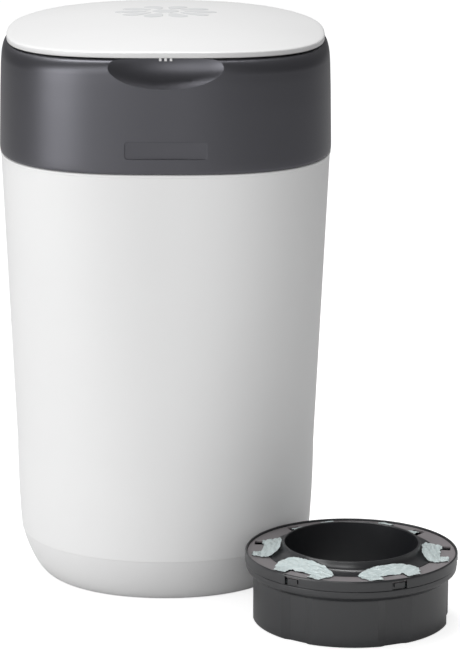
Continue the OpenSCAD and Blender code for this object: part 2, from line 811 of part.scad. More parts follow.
module lid_arm(x)
    along_x(x - arm_wide / 2, x + arm_wide / 2) union() {
        translate([lid_pin_y, lid_pin_z]) circle(r = lid_barrel);
        polygon([[lid_pin_y - lid_barrel, lid_pin_z], [lid_pin_y - arm_back, lid_z - seal_gap],
                 [lid_pin_y - arm_back, lid_z + arm_root], [lid_pin_y - arm_neck, lid_z + arm_root],
                 [lid_pin_y, lid_z - liner_slope], [lid_pin_y + lid_barrel, lid_pin_z]]);
    }

// Flush screws that close the liner to the dome's bosses.
module liner_screws()
    color("silver")
        for (p = boss_places) translate([p[0], p[1], liner_floor + seat]) {
            cylinder(h = screw_sunk - seat, r = screw_head_r);
            cylinder(h = liner_thick + screw_grip, r = screw_r - seat);
        }

// Soft ring under the liner's rim, just clear of the collar's ledge.
module lid_seal() {
    low = lid_z - lip_low + seal_gap;
    inner = lip_half + seal_wide / 4;
    outer = inner + seal_wide;
    high = low + seal_thick;
    rows = [[inner, low, lid_square, side_droop], [outer, low, lid_square, side_droop],
            [outer, high, lid_square, side_droop], [inner, high, lid_square, side_droop]];
    color("gray")
        difference() {
            skin(rings(rows), joined = true);
            for (x = arm_places)
                slab([x - arm_wide / 2 - seat, x + arm_wide / 2 + seat], [0, tilt_y],
                     [low - side_droop - over, lid_z + over]);
        }
}

// Tongue that drops into the keeper when the lid shuts, and the three grips under the edge.
module lid_catch() {
    mid = (keeper_front + keeper_back) / 2;
    color("dimgray") {
        slab([gap - keeper_slot, keeper_slot - gap], [mid - tongue_thick, mid + tongue_thick],
             [deck_top + tongue_low, liner_floor - touch]);
        for (x = [-grip_pitch, 0, grip_pitch])
            slab([x - grip_half, x + grip_half],
                 [(grip_in[0] - lid_half) * depth_ratio, (grip_in[1] - lid_half) * depth_ratio],
                 [lid_z - grip_drop, lid_z - touch]);
    }
}

// ---- cassette --------------------------------------------------------------

// Places the cassette on the floor beside the tub.
module on_the_floor() {
    far = section_r(stand_angle, clip_top) + stand_gap + clip_r;
    translate([far * cos(stand_angle), far * sin(stand_angle), 0]) rotate([0, 0, cassette_turn]) children();
}

// Trough of the cassette, with a drive flute under each clip.
module cassette_tray()
    color("#2f3033") on_the_floor() {
        difference() {
            rotate_extrude() polygon(concat(
                [[bore_r - tray_lip, 0], [tray_r - tray_round, 0],
                 [tray_r - tray_round * 0.3, tray_round * 0.3], [tray_r, tray_round]],
                points_of(flange_curve, tray_r, tray_height),
                [[flange_r, tray_height + flange_low], [flange_r, flange_top - bevel],
                 [flange_r - bevel, flange_top], [flange_in, flange_top],
                 [flange_in, tray_height + flange_inside], [tray_in, tray_height + flange_floor],
                 [tray_in, tray_floor], [bore_r - tray_lip, tray_floor]]));
            around(key_count, tray_r - flute_deep) flute();
        }
        around(key_count, tongue_in)
            slab([0, tongue_wall], [tongue_side - window_half, window_half - tongue_side],
                 [flange_top - bevel, tongue_top]);
        around(key_count, tongue_in + tongue_wall / 2)
            slab([0, clip_r + hook_proud - tongue_in - tongue_wall / 2],
                 [tongue_side - window_half, window_half - tongue_side],
                 [tongue_top - hook_tall, tongue_top]);
    }

// One flute's cut, wider towards the outside.
module flute()
    translate([0, 0, -over]) linear_extrude(tray_height + over)
        polygon([[0, flute_slope - flute_wide / 2], [2 * flute_deep, -flute_wide / 2 - flute_slope],
                 [2 * flute_deep, flute_wide / 2 + flute_slope], [0, flute_wide / 2 - flute_slope]]);

// Clip band round the top of the tray, with a window for each clip.
module cassette_clip()
    color("#2f3033") on_the_floor()
        difference() {
            rotate_extrude()
                polygon([[clip_in, clip_z], [clip_r - bevel, clip_z], [clip_r, clip_z + bevel],
                         [clip_r, clip_top - clip_round], [clip_r - clip_round / 3, clip_top],
                         [clip_in + clip_round / 3, clip_top], [clip_in, clip_top - bevel],
                         [clip_in, cap_z - touch], [clip_in - ledge_in, cap_z - touch],
                         [clip_in - ledge_in, cap_z - ledge_thick], [clip_in, cap_z - ledge_cone]]);
            around(key_count, clip_in - ledge_in - over)
                slab([0, 2 * cassette_wall + ledge_in + over], [-window_half, window_half],
                     [clip_z - over, clip_top - window_roof]);
        }

// One gate: a slot beside the tube with two legs towards the rim.
module gate(z, tall, shrink = 0) {
    slab([gate_in + shrink, gate_out - shrink], [shrink - gate_half, gate_half - shrink], [z, z + tall]);
    for (side = [-1, 1])
        slab([gate_out - leg_half, leg_out - shrink],
             [side * leg_x - leg_half + shrink, side * leg_x + leg_half - shrink], [z, z + tall]);
}

// Flat annular cap with six gates that let the film out.
module cassette_cap()
    color("#8a8588") on_the_floor()
        difference() {
            tube_ring(flare_r, clip_in - seat, cap_z, cap_thick);
            around(key_count, 0) gate(cap_z - over, cap_thick + 2 * over);
        }

// Inner tube, flared out below its rim to meet the cap, and cut back at each gate.
module cassette_tube()
    color("#2f3033") on_the_floor()
        difference() {
            rotate_extrude() polygon(concat(
                [[bore_r + bevel, cassette_height]],
                points_of(flare_curve, tube_r, cassette_height, -1),
                [[flare_r - seat, cap_z + cap_thick + flare_edge], [flare_r - seat, cap_z - heel_tall],
                 [flare_r - flare_heel, cap_z - heel_tall], [flare_r - flare_heel, cap_z + heel_tall]],
                points_of(flare_under, tube_r, cap_z),
                [[tube_r, tray_floor + touch], [bore_r, tray_floor + touch],
                 [bore_r, cassette_height - bevel]]));
            around(key_count, 0)
                slab([gate_in, flare_r + over], [-gate_half, gate_half], [cap_z - over, cap_z + gate_tall]);
        }

// Film gathered in the trough, as one soft ring.
module film_pack()
    color("lightcyan") on_the_floor()
        tube_ring(tube_r + tuft_free, tray_in - tuft_free, tray_floor + touch, pack_top - tray_floor - touch);

// Film that stands up through each gate.
module film_tufts()
    color("lightcyan") on_the_floor()
        around(key_count, 0) gate(pack_top + touch, tuft_tall, tuft_free);

// ---- build -----------------------------------------------------------------

tub_shell();
tilt_pin();
collar();
deck();
rotor_housing();
housing_screws();
click_tongues();
lid_pin();
seam_gasket();
catch_keeper();
cassette_carrier();
grip_ring();
cutter_ring();
cutter_button();
cutter_blade();
lid_cover();
lid_liner();
liner_screws();
lid_seal();
lid_catch();
cassette_tray();
cassette_clip();
cassette_cap();
cassette_tube();
film_pack();
film_tufts();
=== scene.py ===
"""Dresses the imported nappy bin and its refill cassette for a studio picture.

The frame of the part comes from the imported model.  Each sub-assembly is a class
that builds its own pieces in metres, in the frame of the part, and gives every
piece and every node of the model its finish.
"""

import logging
import math
from dataclasses import dataclass
from enum import Enum
from typing import Any, Sequence

import bmesh
import bpy
from mathutils import Matrix, Vector, noise


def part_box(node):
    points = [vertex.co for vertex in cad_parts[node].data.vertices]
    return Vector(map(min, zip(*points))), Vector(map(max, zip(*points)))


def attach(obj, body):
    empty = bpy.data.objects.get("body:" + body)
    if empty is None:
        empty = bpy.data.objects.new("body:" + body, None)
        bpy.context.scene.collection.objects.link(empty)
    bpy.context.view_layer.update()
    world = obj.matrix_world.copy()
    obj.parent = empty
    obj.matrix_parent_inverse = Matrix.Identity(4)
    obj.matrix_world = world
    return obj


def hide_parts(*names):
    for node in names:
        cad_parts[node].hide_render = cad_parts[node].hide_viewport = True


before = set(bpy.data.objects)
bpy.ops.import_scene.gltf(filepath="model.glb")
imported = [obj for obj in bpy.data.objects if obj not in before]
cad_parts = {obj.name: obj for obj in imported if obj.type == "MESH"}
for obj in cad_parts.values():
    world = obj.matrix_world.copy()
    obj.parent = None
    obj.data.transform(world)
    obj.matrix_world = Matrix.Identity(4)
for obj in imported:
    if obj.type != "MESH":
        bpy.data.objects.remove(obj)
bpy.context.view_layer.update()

log = logging.getLogger("nappy_bin")

MM = 0.001
# A Mix node names several sockets alike, so its colour sockets go by number.
MIX_SHARE, MIX_A, MIX_B, MIX_RESULT = 0, 6, 7, 2
Point = tuple[float, float, float]
Table = tuple[tuple[float, ...], ...]
Outline = Sequence[tuple[float, float]]
Object = bpy.types.Object
Tree = bpy.types.NodeTree
Socket = bpy.types.NodeSocket

# ---- sizes shared by the sub-assemblies, millimetres ------------------------
DEPTH_RATIO = 0.963
SEAM_HALF = 135.0
SEAM_Z = 362.0
LID_Z = 454.0
LID_HALF = SEAM_HALF - 5.6
LIP_HALF = LID_HALF - 5.9
LID_SQUARE = 2.5
HIGH_SQUARE = 2.76
SIDE_DROOP = 4.2
DECK_TOP = LID_Z - 9.2
SCOOP_R = 23.5
SCOOP_HALF = 57.4
SCOOP_WALL = 3.2
SCOOP_Y = -(SEAM_HALF - 1.8) * DEPTH_RATIO - 10.5
SCOOP_Z = LID_Z - 2.8
TILT_Y = SEAM_HALF * DEPTH_RATIO + 7.0
TILT_Z = SEAM_Z - 5.0
TILT_PIN_R = 2.5
TILT_BARREL = TILT_PIN_R + 3.0
KNUCKLE_HALF = 20.0
GAP = 0.5
LID_PIN_Y = LIP_HALF * DEPTH_RATIO + 3.1
LID_PIN_Z = DECK_TOP - 3.0
LID_PIN_R = 2.0
LID_BARREL = LID_PIN_R + 2.4
ARM_X = 31.0
ARM_WIDE = 8.0
BOSS_HALF = 41.0
SEAT = 0.1
PIN_FIT = 0.05
BAND_Z = 37.0
CLIP_R = SEAM_HALF - 49.4


class Body(Enum):
    """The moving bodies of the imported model."""

    TUB = "tub"
    HEAD = "head"
    CARRIER = "carrier"
    CUTTER = "cutter"
    BUTTON = "button"
    LID = "lid"
    CASSETTE = "cassette"


class Slot(Enum):
    """The material slots of the record."""

    TUB_WHITE = "tub_white"
    LID_WHITE = "lid_white"
    LINER_WHITE = "liner_white"
    COLLAR_CHARCOAL = "collar_charcoal"
    HOUSING_GREY = "housing_grey"
    CARRIER_GREY = "carrier_grey"
    GRIP_LIGHT = "grip_light"
    BUTTON_DARK = "button_dark"
    GASKET_RUBBER = "gasket_rubber"
    STEEL = "steel"
    BLADE_STEEL = "blade_steel"
    CASSETTE_BLACK = "cassette_black"
    CAP_TAUPE = "cap_taupe"
    FILM = "film"
    MOTIF_GREY = "motif_grey"


# ---- material tools ---------------------------------------------------------


def linear(colour: str) -> tuple[float, float, float, float]:
    """Turns an sRGB hex colour into linear light.

    Args:
        colour: Six hex digits, with or without a leading hash.

    Returns:
        Red, green, blue and an alpha of 1, each from 0 to 1.
    """
    digits = colour.lstrip("#")
    parts = [int(digits[i:i + 2], 16) / 255 for i in (0, 2, 4)]
    light = [p / 12.92 if p <= 0.04045 else ((p + 0.055) / 1.055) ** 2.4 for p in parts]
    return (light[0], light[1], light[2], 1.0)


def add_node(
    tree: Tree,
    kind: str,
    inputs: dict[Any, Any] | None = None,
    **settings: Any,
) -> bpy.types.Node:
    """Adds a shader node with its settings, values and links.

    Args:
        tree: The tree that gets the node.
        kind: The node's type, without its ShaderNode prefix.
        inputs: Values for input sockets, or output sockets to link to them.
        **settings: Properties of the node itself.

    Returns:
        The new node.
    """
    node = tree.nodes.new("ShaderNode" + kind)
    for key, value in settings.items():
        setattr(node, key, value)
    for key, value in (inputs or {}).items():
        if isinstance(value, Socket):
            tree.links.new(value, node.inputs[key])
        else:
            node.inputs[key].default_value = value
    return node


def blank_material(name: str) -> tuple[bpy.types.Material, Tree]:
    """Makes a node material with an empty tree.

    Args:
        name: Name of the material.

    Returns:
        The material and its tree.
    """
    material = bpy.data.materials.new(name)
    material.use_nodes = True
    material.node_tree.nodes.clear()
    return material, material.node_tree


def mottle(
    tree: Tree,
    place: Socket,
    patch_mm: float,
    colours: tuple[str, str],
    **settings: float,
) -> tuple[Socket, Socket]:
    """Mixes two colours over patches of noise.

    Args:
        tree: The tree that gets the nodes.
        place: The coordinates that the noise follows.
        patch_mm: Size of a patch.
        colours: sRGB colours where the noise is low and where it is high.
        **settings: Values of the noise's other sockets.

    Returns:
        The noise's value and the mixed colour.
    """
    patches = add_node(tree, "TexNoise", {
        "Vector": place, "Scale": 1 / (patch_mm * MM), **settings}).outputs["Fac"]
    tone = add_node(tree, "Mix", {
        MIX_SHARE: patches, MIX_A: linear(colours[0]), MIX_B: linear(colours[1])},
        data_type="RGBA")
    return patches, tone.outputs[MIX_RESULT]


class Finish:
    """A procedural finish, drawn in the object's own coordinates."""

    name: str

    def sockets(self, tree: Tree, place: Socket) -> dict[str, Any]:
        """Adds the finish's patterns and says what the surface shader gets.

        Args:
            tree: The material's tree.
            place: The object's coordinates.

        Returns:
            Values and links by the name of the shader's socket.
        """
        raise NotImplementedError

    def build(self) -> bpy.types.Material:
        """Builds the material.

        Returns:
            The finished material.
        """
        material, tree = blank_material(self.name)
        place = add_node(tree, "TexCoord").outputs["Object"]
        shader = add_node(tree, "BsdfPrincipled", self.sockets(tree, place))
        add_node(tree, "OutputMaterial", {"Surface": shader.outputs["BSDF"]})
        return material


@dataclass(frozen=True)
class MouldedPlastic(Finish):
    """Injection-moulded plastic, solid coloured through.

    Attributes:
        name: Name of the material.
        colour: Main sRGB colour.
        drift: sRGB colour that the main one drifts to over a hand's width.
        roughness: Mean roughness of the mould's surface.
        ior: Index of refraction of the resin.
        grain_mm: Spacing of the mould's spark-eroded grain.
        grain_depth_mm: Height of that grain.
        edge_mm: Radius that the mould leaves on an outer edge.
        flow_mm: Spacing of the slow unevenness that cooling leaves.
        flow_depth_mm: Height of that unevenness.
        spread: How far the grain takes the roughness either side of its mean.
        level: Strength of the reflection, 0.5 being that of the resin alone.
        flake: Share of the reflection that dark flake pigment colours.
        painted_shade_mm: Height up to which the tone is painted greyer as the shade of the foot,
            which turns inward there, 0 for none.
        painted_shade_tone: sRGB colour of that painted shade.
    """

    name: str
    colour: str
    drift: str
    roughness: float
    ior: float = 1.49
    # True grain is about 0.1 mm; it is drawn coarser, so that it shows at all.
    grain_mm: float = 1.2
    grain_depth_mm: float = 0.02
    edge_mm: float = 0.5
    flow_mm: float = 70.0
    flow_depth_mm: float = 0.12
    spread: float = 0.05
    level: float = 0.5
    flake: float = 0.0
    painted_shade_mm: float = 0.0
    painted_shade_tone: str = "#ffffff"

    def sockets(self, tree: Tree, place: Socket) -> dict[str, Any]:
        """Adds flow marks, grain, rounded edges and the painted shade below the band line.

        Args:
            tree: The material's tree.
            place: The object's coordinates.

        Returns:
            What the surface shader gets, by the name of its socket.
        """
        flow, tone = mottle(tree, place, self.flow_mm, (self.colour, self.drift), Detail=2.0)
        # Painted shade: under the band line the tone turns greyer, standing in for the shade on the
        # foot that turns inward.
        if self.painted_shade_mm:
            height = add_node(tree, "SeparateXYZ", {"Vector": place})
            below = add_node(tree, "MapRange", {
                "Value": height.outputs["Z"], "From Min": (self.painted_shade_mm + 0.3) * MM,
                "From Max": (self.painted_shade_mm - 0.1) * MM})
            tone = add_node(tree, "Mix", {
                MIX_SHARE: below.outputs["Result"], MIX_A: tone,
                MIX_B: linear(self.painted_shade_tone)}, data_type="RGBA").outputs[MIX_RESULT]
        grain = add_node(tree, "TexNoise", {
            "Vector": place, "Scale": 1 / (self.grain_mm * MM), "Detail": 3.0,
            "Roughness": 0.6}).outputs["Fac"]
        gloss = add_node(tree, "MapRange", {
            "Value": grain, "To Min": self.roughness - self.spread,
            "To Max": self.roughness + self.spread})
        rounded = add_node(tree, "Bevel", {"Radius": self.edge_mm * MM}, samples=4)
        wavy = add_node(tree, "Bump", {
            "Height": flow, "Distance": self.flow_depth_mm * MM, "Strength": 0.35,
            "Normal": rounded.outputs["Normal"]})
        grained = add_node(tree, "Bump", {
            "Height": grain, "Distance": self.grain_depth_mm * MM, "Strength": 0.6,
            "Normal": wavy.outputs["Normal"]})
        return {"Base Color": tone, "Roughness": gloss.outputs["Result"], "IOR": self.ior,
                "Specular IOR Level": self.level, "Metallic": self.flake,
                "Normal": grained.outputs["Normal"]}


@dataclass(frozen=True)
class SoftRubber(Finish):
    """Thermoplastic elastomer, matt with a faint dusty bloom.

    Attributes:
        name: Name of the material.
        colour: sRGB colour of the rubber.
        bloom: sRGB colour of the bloom.
        bloom_mm: Size of the patches that the bloom gathers in.
        pore_mm: Spacing of the pores, drawn coarser than the true 0.1 mm or so.
        pore_depth_mm: Depth of the pores.
    """

    name: str
    colour: str
    bloom: str
    bloom_mm: float = 6.0
    pore_mm: float = 0.7
    pore_depth_mm: float = 0.03

    def sockets(self, tree: Tree, place: Socket) -> dict[str, Any]:
        """Adds bloom and pores.

        Args:
            tree: The material's tree.
            place: The object's coordinates.

        Returns:
            What the surface shader gets, by the name of its socket.
        """
        _, tone = mottle(tree, place, self.bloom_mm, (self.colour, self.bloom), Detail=4.0)
        pores = add_node(tree, "TexNoise", {
            "Vector": place, "Scale": 1 / (self.pore_mm * MM), "Detail": 2.0})
        bump = add_node(tree, "Bump", {
            "Height": pores.outputs["Fac"], "Distance": self.pore_depth_mm * MM,
            "Strength": 0.6})
        return {"Base Color": tone, "Roughness": 0.75, "IOR": 1.5,
                "Normal": bump.outputs["Normal"]}


@dataclass(frozen=True)
class DrawnSteel(Finish):
    """Bright steel wire or sheet, with fine lines left by drawing or grinding.

    Attributes:
        name: Name of the material.
        colour: sRGB colour of the metal.
        roughness: Mean roughness.
        line_mm: Spacing of the lines, drawn coarser than the true 0.05 mm or so.
        along: Axis the lines run along, 0 for X.
        stretch: Share that the pattern is scaled by along that axis.
        line_depth_mm: Depth of the lines.
        spread: How far the lines take the roughness under its mean and over it.
    """

    name: str
    colour: str
    roughness: float
    line_mm: float = 0.5
    along: int = 0
    stretch: float = 0.05
    line_depth_mm: float = 0.01
    spread: tuple[float, float] = (0.08, 0.1)

    def sockets(self, tree: Tree, place: Socket) -> dict[str, Any]:
        """Adds the drawn or ground lines.

        Args:
            tree: The material's tree.
            place: The object's coordinates.

        Returns:
            What the surface shader gets, by the name of its socket.
        """
        scale = [self.stretch if axis == self.along else 1.0 for axis in range(3)]
        drawn = add_node(tree, "Mapping", {"Vector": place, "Scale": scale})
        lines = add_node(tree, "TexNoise", {
            "Vector": drawn.outputs["Vector"], "Scale": 1 / (self.line_mm * MM),
            "Detail": 3.0}).outputs["Fac"]
        gloss = add_node(tree, "MapRange", {
            "Value": lines, "To Min": self.roughness - self.spread[0],
            "To Max": self.roughness + self.spread[1]})
        bump = add_node(tree, "Bump", {
            "Height": lines, "Distance": self.line_depth_mm * MM, "Strength": 0.4})
        return {"Base Color": linear(self.colour), "Metallic": 1.0,
                "Roughness": gloss.outputs["Result"], "Normal": bump.outputs["Normal"]}


@dataclass(frozen=True)
class BlownFilm(Finish):
    """Thin multi-layer film, milky, creased and glossy.

    Attributes:
        name: Name of the material.
        colour: sRGB colour of the film's crests.
        fold: sRGB colour painted into its folds as their shade.
        crease_mm: Spacing of the creases of gathered film.
        crease_depth_mm: Height of the creases.
        milk_mm: How far light spreads inside the layers.
    """

    name: str
    colour: str
    fold: str
    crease_mm: float = 4.0
    crease_depth_mm: float = 0.8
    milk_mm: float = 2.0

    def sockets(self, tree: Tree, place: Socket) -> dict[str, Any]:
        """Adds the creases.

        Args:
            tree: The material's tree.
            place: The object's coordinates.

        Returns:
            What the surface shader gets, by the name of its socket.
        """
        # Painted shade: where the crease noise is low the film takes the darker fold colour, the
        # same noise that sinks the bump there.
        creases, tone = mottle(tree, place, self.crease_mm, (self.fold, self.colour),
                               Detail=5.0, Distortion=1.0)
        bump = add_node(tree, "Bump", {
            "Height": creases, "Distance": self.crease_depth_mm * MM, "Strength": 0.5})
        return {"Base Color": tone, "Roughness": 0.28, "IOR": 1.5,
                "Normal": bump.outputs["Normal"], "Subsurface Weight": 0.25,
                "Subsurface Scale": self.milk_mm * MM, "Subsurface Radius": (1.0, 1.0, 1.0)}


class Finishes:
    """Every finish of the bin, each built once."""

    def __init__(self) -> None:
        """Builds the materials by slot."""
        kinds = {
            # Polypropylene homopolymer in a satin mould: soft, even, hardly any grain. Below the
            # band line its tone is painted greyer, as shade on the inward-turning foot.
            Slot.TUB_WHITE: MouldedPlastic(
                "satin_polypropylene_white", "#f3f3f3", "#f0f0f0", 0.42,
                painted_shade_mm=BAND_Z, painted_shade_tone="#ececec"),
            # ABS from a polished mould: brighter, with a crisp edge highlight.
            Slot.LID_WHITE: MouldedPlastic(
                "polished_abs_white", "#e6e6e6", "#e3e3e3", 0.3, 1.53, 1.6, 0.01, 0.8),
            Slot.LINER_WHITE: MouldedPlastic(
                "satin_polypropylene_liner", "#ececea", "#e8e8e6", 0.45),
            # Polypropylene coloured charcoal: a fine leathery satin that lifts to grey in light.
            Slot.COLLAR_CHARCOAL: MouldedPlastic(
                "satin_polypropylene_charcoal", "#67676c", "#626267", 0.4, 1.49, 1.0, 0.03, 0.7,
                level=0.4, flake=0.9),
            Slot.HOUSING_GREY: MouldedPlastic(
                "moulded_polypropylene_grey", "#6f7175", "#6a6c70", 0.5),
            Slot.CARRIER_GREY: MouldedPlastic(
                "moulded_polypropylene_light_grey", "#b9bbbd", "#b4b6b8", 0.45),
            Slot.GRIP_LIGHT: MouldedPlastic(
                "satin_abs_pale_grey", "#d5d7d8", "#d0d2d3", 0.38, 1.53),
            Slot.BUTTON_DARK: MouldedPlastic(
                "acetal_slate", "#3c4146", "#383d42", 0.35, 1.48),
            Slot.GASKET_RUBBER: SoftRubber("elastomer_grey", "#55575a", "#66686b"),
            Slot.STEEL: DrawnSteel("drawn_steel", "#c4c6c8", 0.28),
            Slot.BLADE_STEEL: DrawnSteel("ground_blade_steel", "#d8dadb", 0.18, 0.35, 1),
            # Recycled polypropylene, near black, from a glossy mould.
            Slot.CASSETTE_BLACK: MouldedPlastic(
                "gloss_polypropylene_black", "#242528", "#1f2023", 0.32, 1.5, 1.4, 0.01, 0.4,
                level=1.0),
            Slot.CAP_TAUPE: MouldedPlastic(
                "polypropylene_taupe", "#908b8d", "#898486", 0.38, 1.5, 1.2, 0.02, 0.3),
            Slot.FILM: BlownFilm("blown_barrier_film", "#eaf4f3", "#c3d6d7"),
            Slot.MOTIF_GREY: MouldedPlastic("printed_foil_pale_grey", "#cfd0d1", "#cbcccd", 0.4),
        }
        self.made = {slot: kind.build() for slot, kind in kinds.items()}

    def dress(self, obj: Object, slot: Slot) -> None:
        """Gives an object the finish of a slot.

        Args:
            obj: A new piece or a node of the model.
            slot: The slot whose finish it takes.
        """
        if not obj.material_slots:
            obj.data.materials.append(None)
        for holder in obj.material_slots:
            holder.link = "DATA"
            holder.material = self.made[slot]

    def dress_nodes(self, slots: dict[str, Slot]) -> None:
        """Gives nodes of the model the finishes of their slots.

        Args:
            slots: The slot of each node, by the node's name.
        """
        for node, slot in slots.items():
            self.dress(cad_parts[node], slot)


# ---- modelling tools --------------------------------------------------------


def deselect() -> None:
    """Deselects every object."""
    if bpy.context.object and bpy.context.object.mode != "OBJECT":
        bpy.ops.object.mode_set(mode="OBJECT")
    bpy.ops.object.select_all(action="DESELECT")


def pick(obj: Object) -> None:
    """Selects one object alone and makes it active.

    Args:
        obj: The object.
    """
    deselect()
    obj.select_set(True)
    bpy.context.view_layer.objects.active = obj


def newest(name: str) -> Object:
    """Names the object that was just added, with its mesh.

    Args:
        name: The name that both get.

    Returns:
        The object.
    """
    obj = bpy.context.object
    obj.name = obj.data.name = name
    return obj


def superellipse(half: float, square: float, turn: float) -> tuple[float, float]:
    """Finds the point of the bin's section in a direction.

    Args:
        half: Half width of the section.
        square: Corner exponent, 2 being an ellipse.
        turn: Direction from the middle, in radians.

    Returns:
        The point's x and y, in the units of half.
    """
    across, along = abs(math.cos(turn)) / half, abs(math.sin(turn)) / (half * DEPTH_RATIO)
    reach = (across ** square + along ** square) ** (-1 / square)
    return reach * math.cos(turn), reach * math.sin(turn)


@dataclass(frozen=True)
class Level:
    """One level of a lofted wall, in millimetres.

    Attributes:
        half: Half width.
        z: Height at the middle of the front.
        square: Corner exponent.
        droop: How far the level falls at the lid's half width.
        behind: None, or how far the level keeps behind the scoop's wall.
    """

    half: float
    z: float
    square: float
    droop: float = 0.0
    behind: float | None = None

    def ring(self, count: int) -> list[Point]:
        """Lays the level's points out.

        Args:
            count: Number of points round the level.

        Returns:
            The points, in metres.
        """
        points = []
        for i in range(count):
            x, y = superellipse(self.half, self.square, 2 * math.pi * i / count)
            z = self.z - self.droop * (x / LID_HALF) ** 2
            if self.behind is not None and y < 0:
                swell = SCOOP_R * math.sqrt(max(0.0, 1 - (x / SCOOP_HALF) ** 2)) + SCOOP_WALL
                swell += self.behind
                y = max(y, SCOOP_Y + math.sqrt(max(0.0, swell ** 2 - (z - SCOOP_Z) ** 2)))
            points.append((x * MM, y * MM, z * MM))
        return points


def loft(name: str, rings: Sequence[Sequence[Point]], joined: bool) -> Object:
    """Raises a closed wall from a circle, one extruded loop for each ring.

    Args:
        name: Name of the new piece.
        rings: Points of each level, in metres, as many on each.
        joined: True where the last level joins the first, False for closed ends.

    Returns:
        The new object.
    """
    deselect()
    count = len(rings[0])
    bpy.ops.mesh.primitive_circle_add(vertices=count, radius=1.0)
    obj = newest(name)
    bpy.ops.object.mode_set(mode="EDIT")
    mesh = bmesh.from_edit_mesh(obj.data)
    station = mesh.verts.layers.int.new("station")
    mesh.verts.ensure_lookup_table()
    for index, vert in enumerate(mesh.verts):
        vert[station] = index
        vert.co = rings[0][index]
    for ring in rings[1:]:
        bpy.ops.mesh.extrude_edges_move()
        mesh = bmesh.from_edit_mesh(obj.data)
        station = mesh.verts.layers.int["station"]
        for vert in mesh.verts:
            if vert.select:
                vert.co = ring[vert[station]]
    bpy.ops.mesh.select_mode(type="EDGE")
    bpy.ops.mesh.select_all(action="DESELECT")
    bpy.ops.mesh.select_non_manifold()
    if joined:
        bpy.ops.mesh.bridge_edge_loops()
    else:
        bpy.ops.mesh.fill_holes(sides=0)
    bpy.ops.mesh.select_mode(type="VERT")
    bpy.ops.mesh.select_all(action="SELECT")
    bpy.ops.mesh.normals_make_consistent(inside=False)
    bpy.ops.object.mode_set(mode="OBJECT")
    obj.data.attributes.remove(obj.data.attributes["station"])
    return obj


def apply_modifier(obj: Object, kind: str, **settings: Any) -> None:
    """Adds a modifier to an object and applies it.

    Args:
        obj: The object.
        kind: The modifier's type.
        **settings: Properties of the modifier.
    """
    pick(obj)
    modifier = obj.modifiers.new(kind.lower(), kind)
    for key, value in settings.items():
        setattr(modifier, key, value)
    bpy.ops.object.modifier_apply(modifier=modifier.name)


def combine(obj: Object, tool: Object, operation: str) -> None:
    """Cuts a tool from an object, or joins it on, and deletes the tool.

    Args:
        obj: The piece that stays.
        tool: The piece that shapes it.
        operation: DIFFERENCE, UNION or INTERSECT.
    """
    apply_modifier(obj, "BOOLEAN", object=tool, operation=operation, solver="EXACT")
    bpy.data.meshes.remove(tool.data)


def settle(obj: Object) -> None:
    """Moves an object's own place into its mesh, so that it sits at the origin."""
    pick(obj)
    bpy.ops.object.transform_apply(location=True, rotation=True, scale=True)


def smooth(obj: Object, degrees: float = 32.0) -> None:
    """Shades an object smooth, with edges over an angle left sharp.

    Args:
        obj: The object.
        degrees: The angle.
    """
    pick(obj)
    bpy.ops.object.shade_smooth_by_angle(angle=math.radians(degrees))


def block(name: str, low: Point, high: Point) -> Object:
    """Adds a block between two corners, sizes in millimetres.

    Args:
        name: Name of the new piece.
        low: Its lowest corner.
        high: Its highest corner.

    Returns:
        The new object.
    """
    deselect()
    middle = [(a + b) / 2 * MM for a, b in zip(low, high)]
    bpy.ops.mesh.primitive_cube_add(size=1.0, location=middle)
    obj = newest(name)
    obj.scale = [(b - a) * MM for a, b in zip(low, high)]
    settle(obj)
    return obj


def cylinder(
    name: str, radius: float, tall: float, middle: Point, sides: int = 64, lying: bool = False
) -> Object:
    """Adds a cylinder, sizes in millimetres.

    Args:
        name: Name of the new piece.
        radius: Its radius.
        tall: Its length.
        middle: Its middle.
        sides: Number of flats round it.
        lying: True where it lies along X, False where it stands.

    Returns:
        The new object.
    """
    deselect()
    bpy.ops.mesh.primitive_cylinder_add(
        vertices=sides, radius=radius * MM, depth=tall * MM,
        location=[part * MM for part in middle],
        rotation=(0.0, math.pi / 2 if lying else 0.0, 0.0))
    obj = newest(name)
    settle(obj)
    return obj


def rod(name: str, radius: float, start: float, end: float, y: float, z: float) -> Object:
    """Adds a rod along X, sizes in millimetres.

    Args:
        name: Name of the new piece.
        radius: Its radius.
        start: Where it starts along X.
        end: Where it ends.
        y: Its place from front to back.
        z: Its height.

    Returns:
        The new object.
    """
    return cylinder(name, radius, end - start, ((start + end) / 2, y, z), lying=True)


def prism(name: str, outline: Outline, start: float, end: float) -> Object:
    """Extrudes a y, z outline along X.

    Args:
        name: Name of the new piece.
        outline: Corners of the outline in millimetres.
        start: Where it starts along X.
        end: Where it ends.

    Returns:
        The new object.
    """
    deselect()
    bpy.ops.mesh.primitive_circle_add(vertices=len(outline), radius=1.0)
    obj = newest(name)
    bpy.ops.object.mode_set(mode="EDIT")
    mesh = bmesh.from_edit_mesh(obj.data)
    mesh.verts.ensure_lookup_table()
    for vert, (y, z) in zip(mesh.verts, outline):
        vert.co = (start * MM, y * MM, z * MM)
    bpy.ops.mesh.edge_face_add()
    bpy.ops.mesh.extrude_region_move(
        TRANSFORM_OT_translate={"value": ((end - start) * MM, 0.0, 0.0)})
    bpy.ops.mesh.select_all(action="SELECT")
    bpy.ops.mesh.normals_make_consistent(inside=False)
    bpy.ops.object.mode_set(mode="OBJECT")
    return obj


def arc(
    y: float, z: float, radius: float, start: float, end: float, steps: int
) -> list[tuple[float, float]]:
    """Draws an arc.

    Args:
        y: Middle of the arc, sideways.
        z: Middle of the arc, upwards.
        radius: Its radius.
        start: Where it starts, in degrees.
        end: Where it ends.
        steps: Number of straight parts.

    Returns:
        The points, one more than the steps.
    """
    turns = [math.radians(start + (end - start) * i / steps) for i in range(steps + 1)]
    return [(y + radius * math.cos(t), z + radius * math.sin(t)) for t in turns]


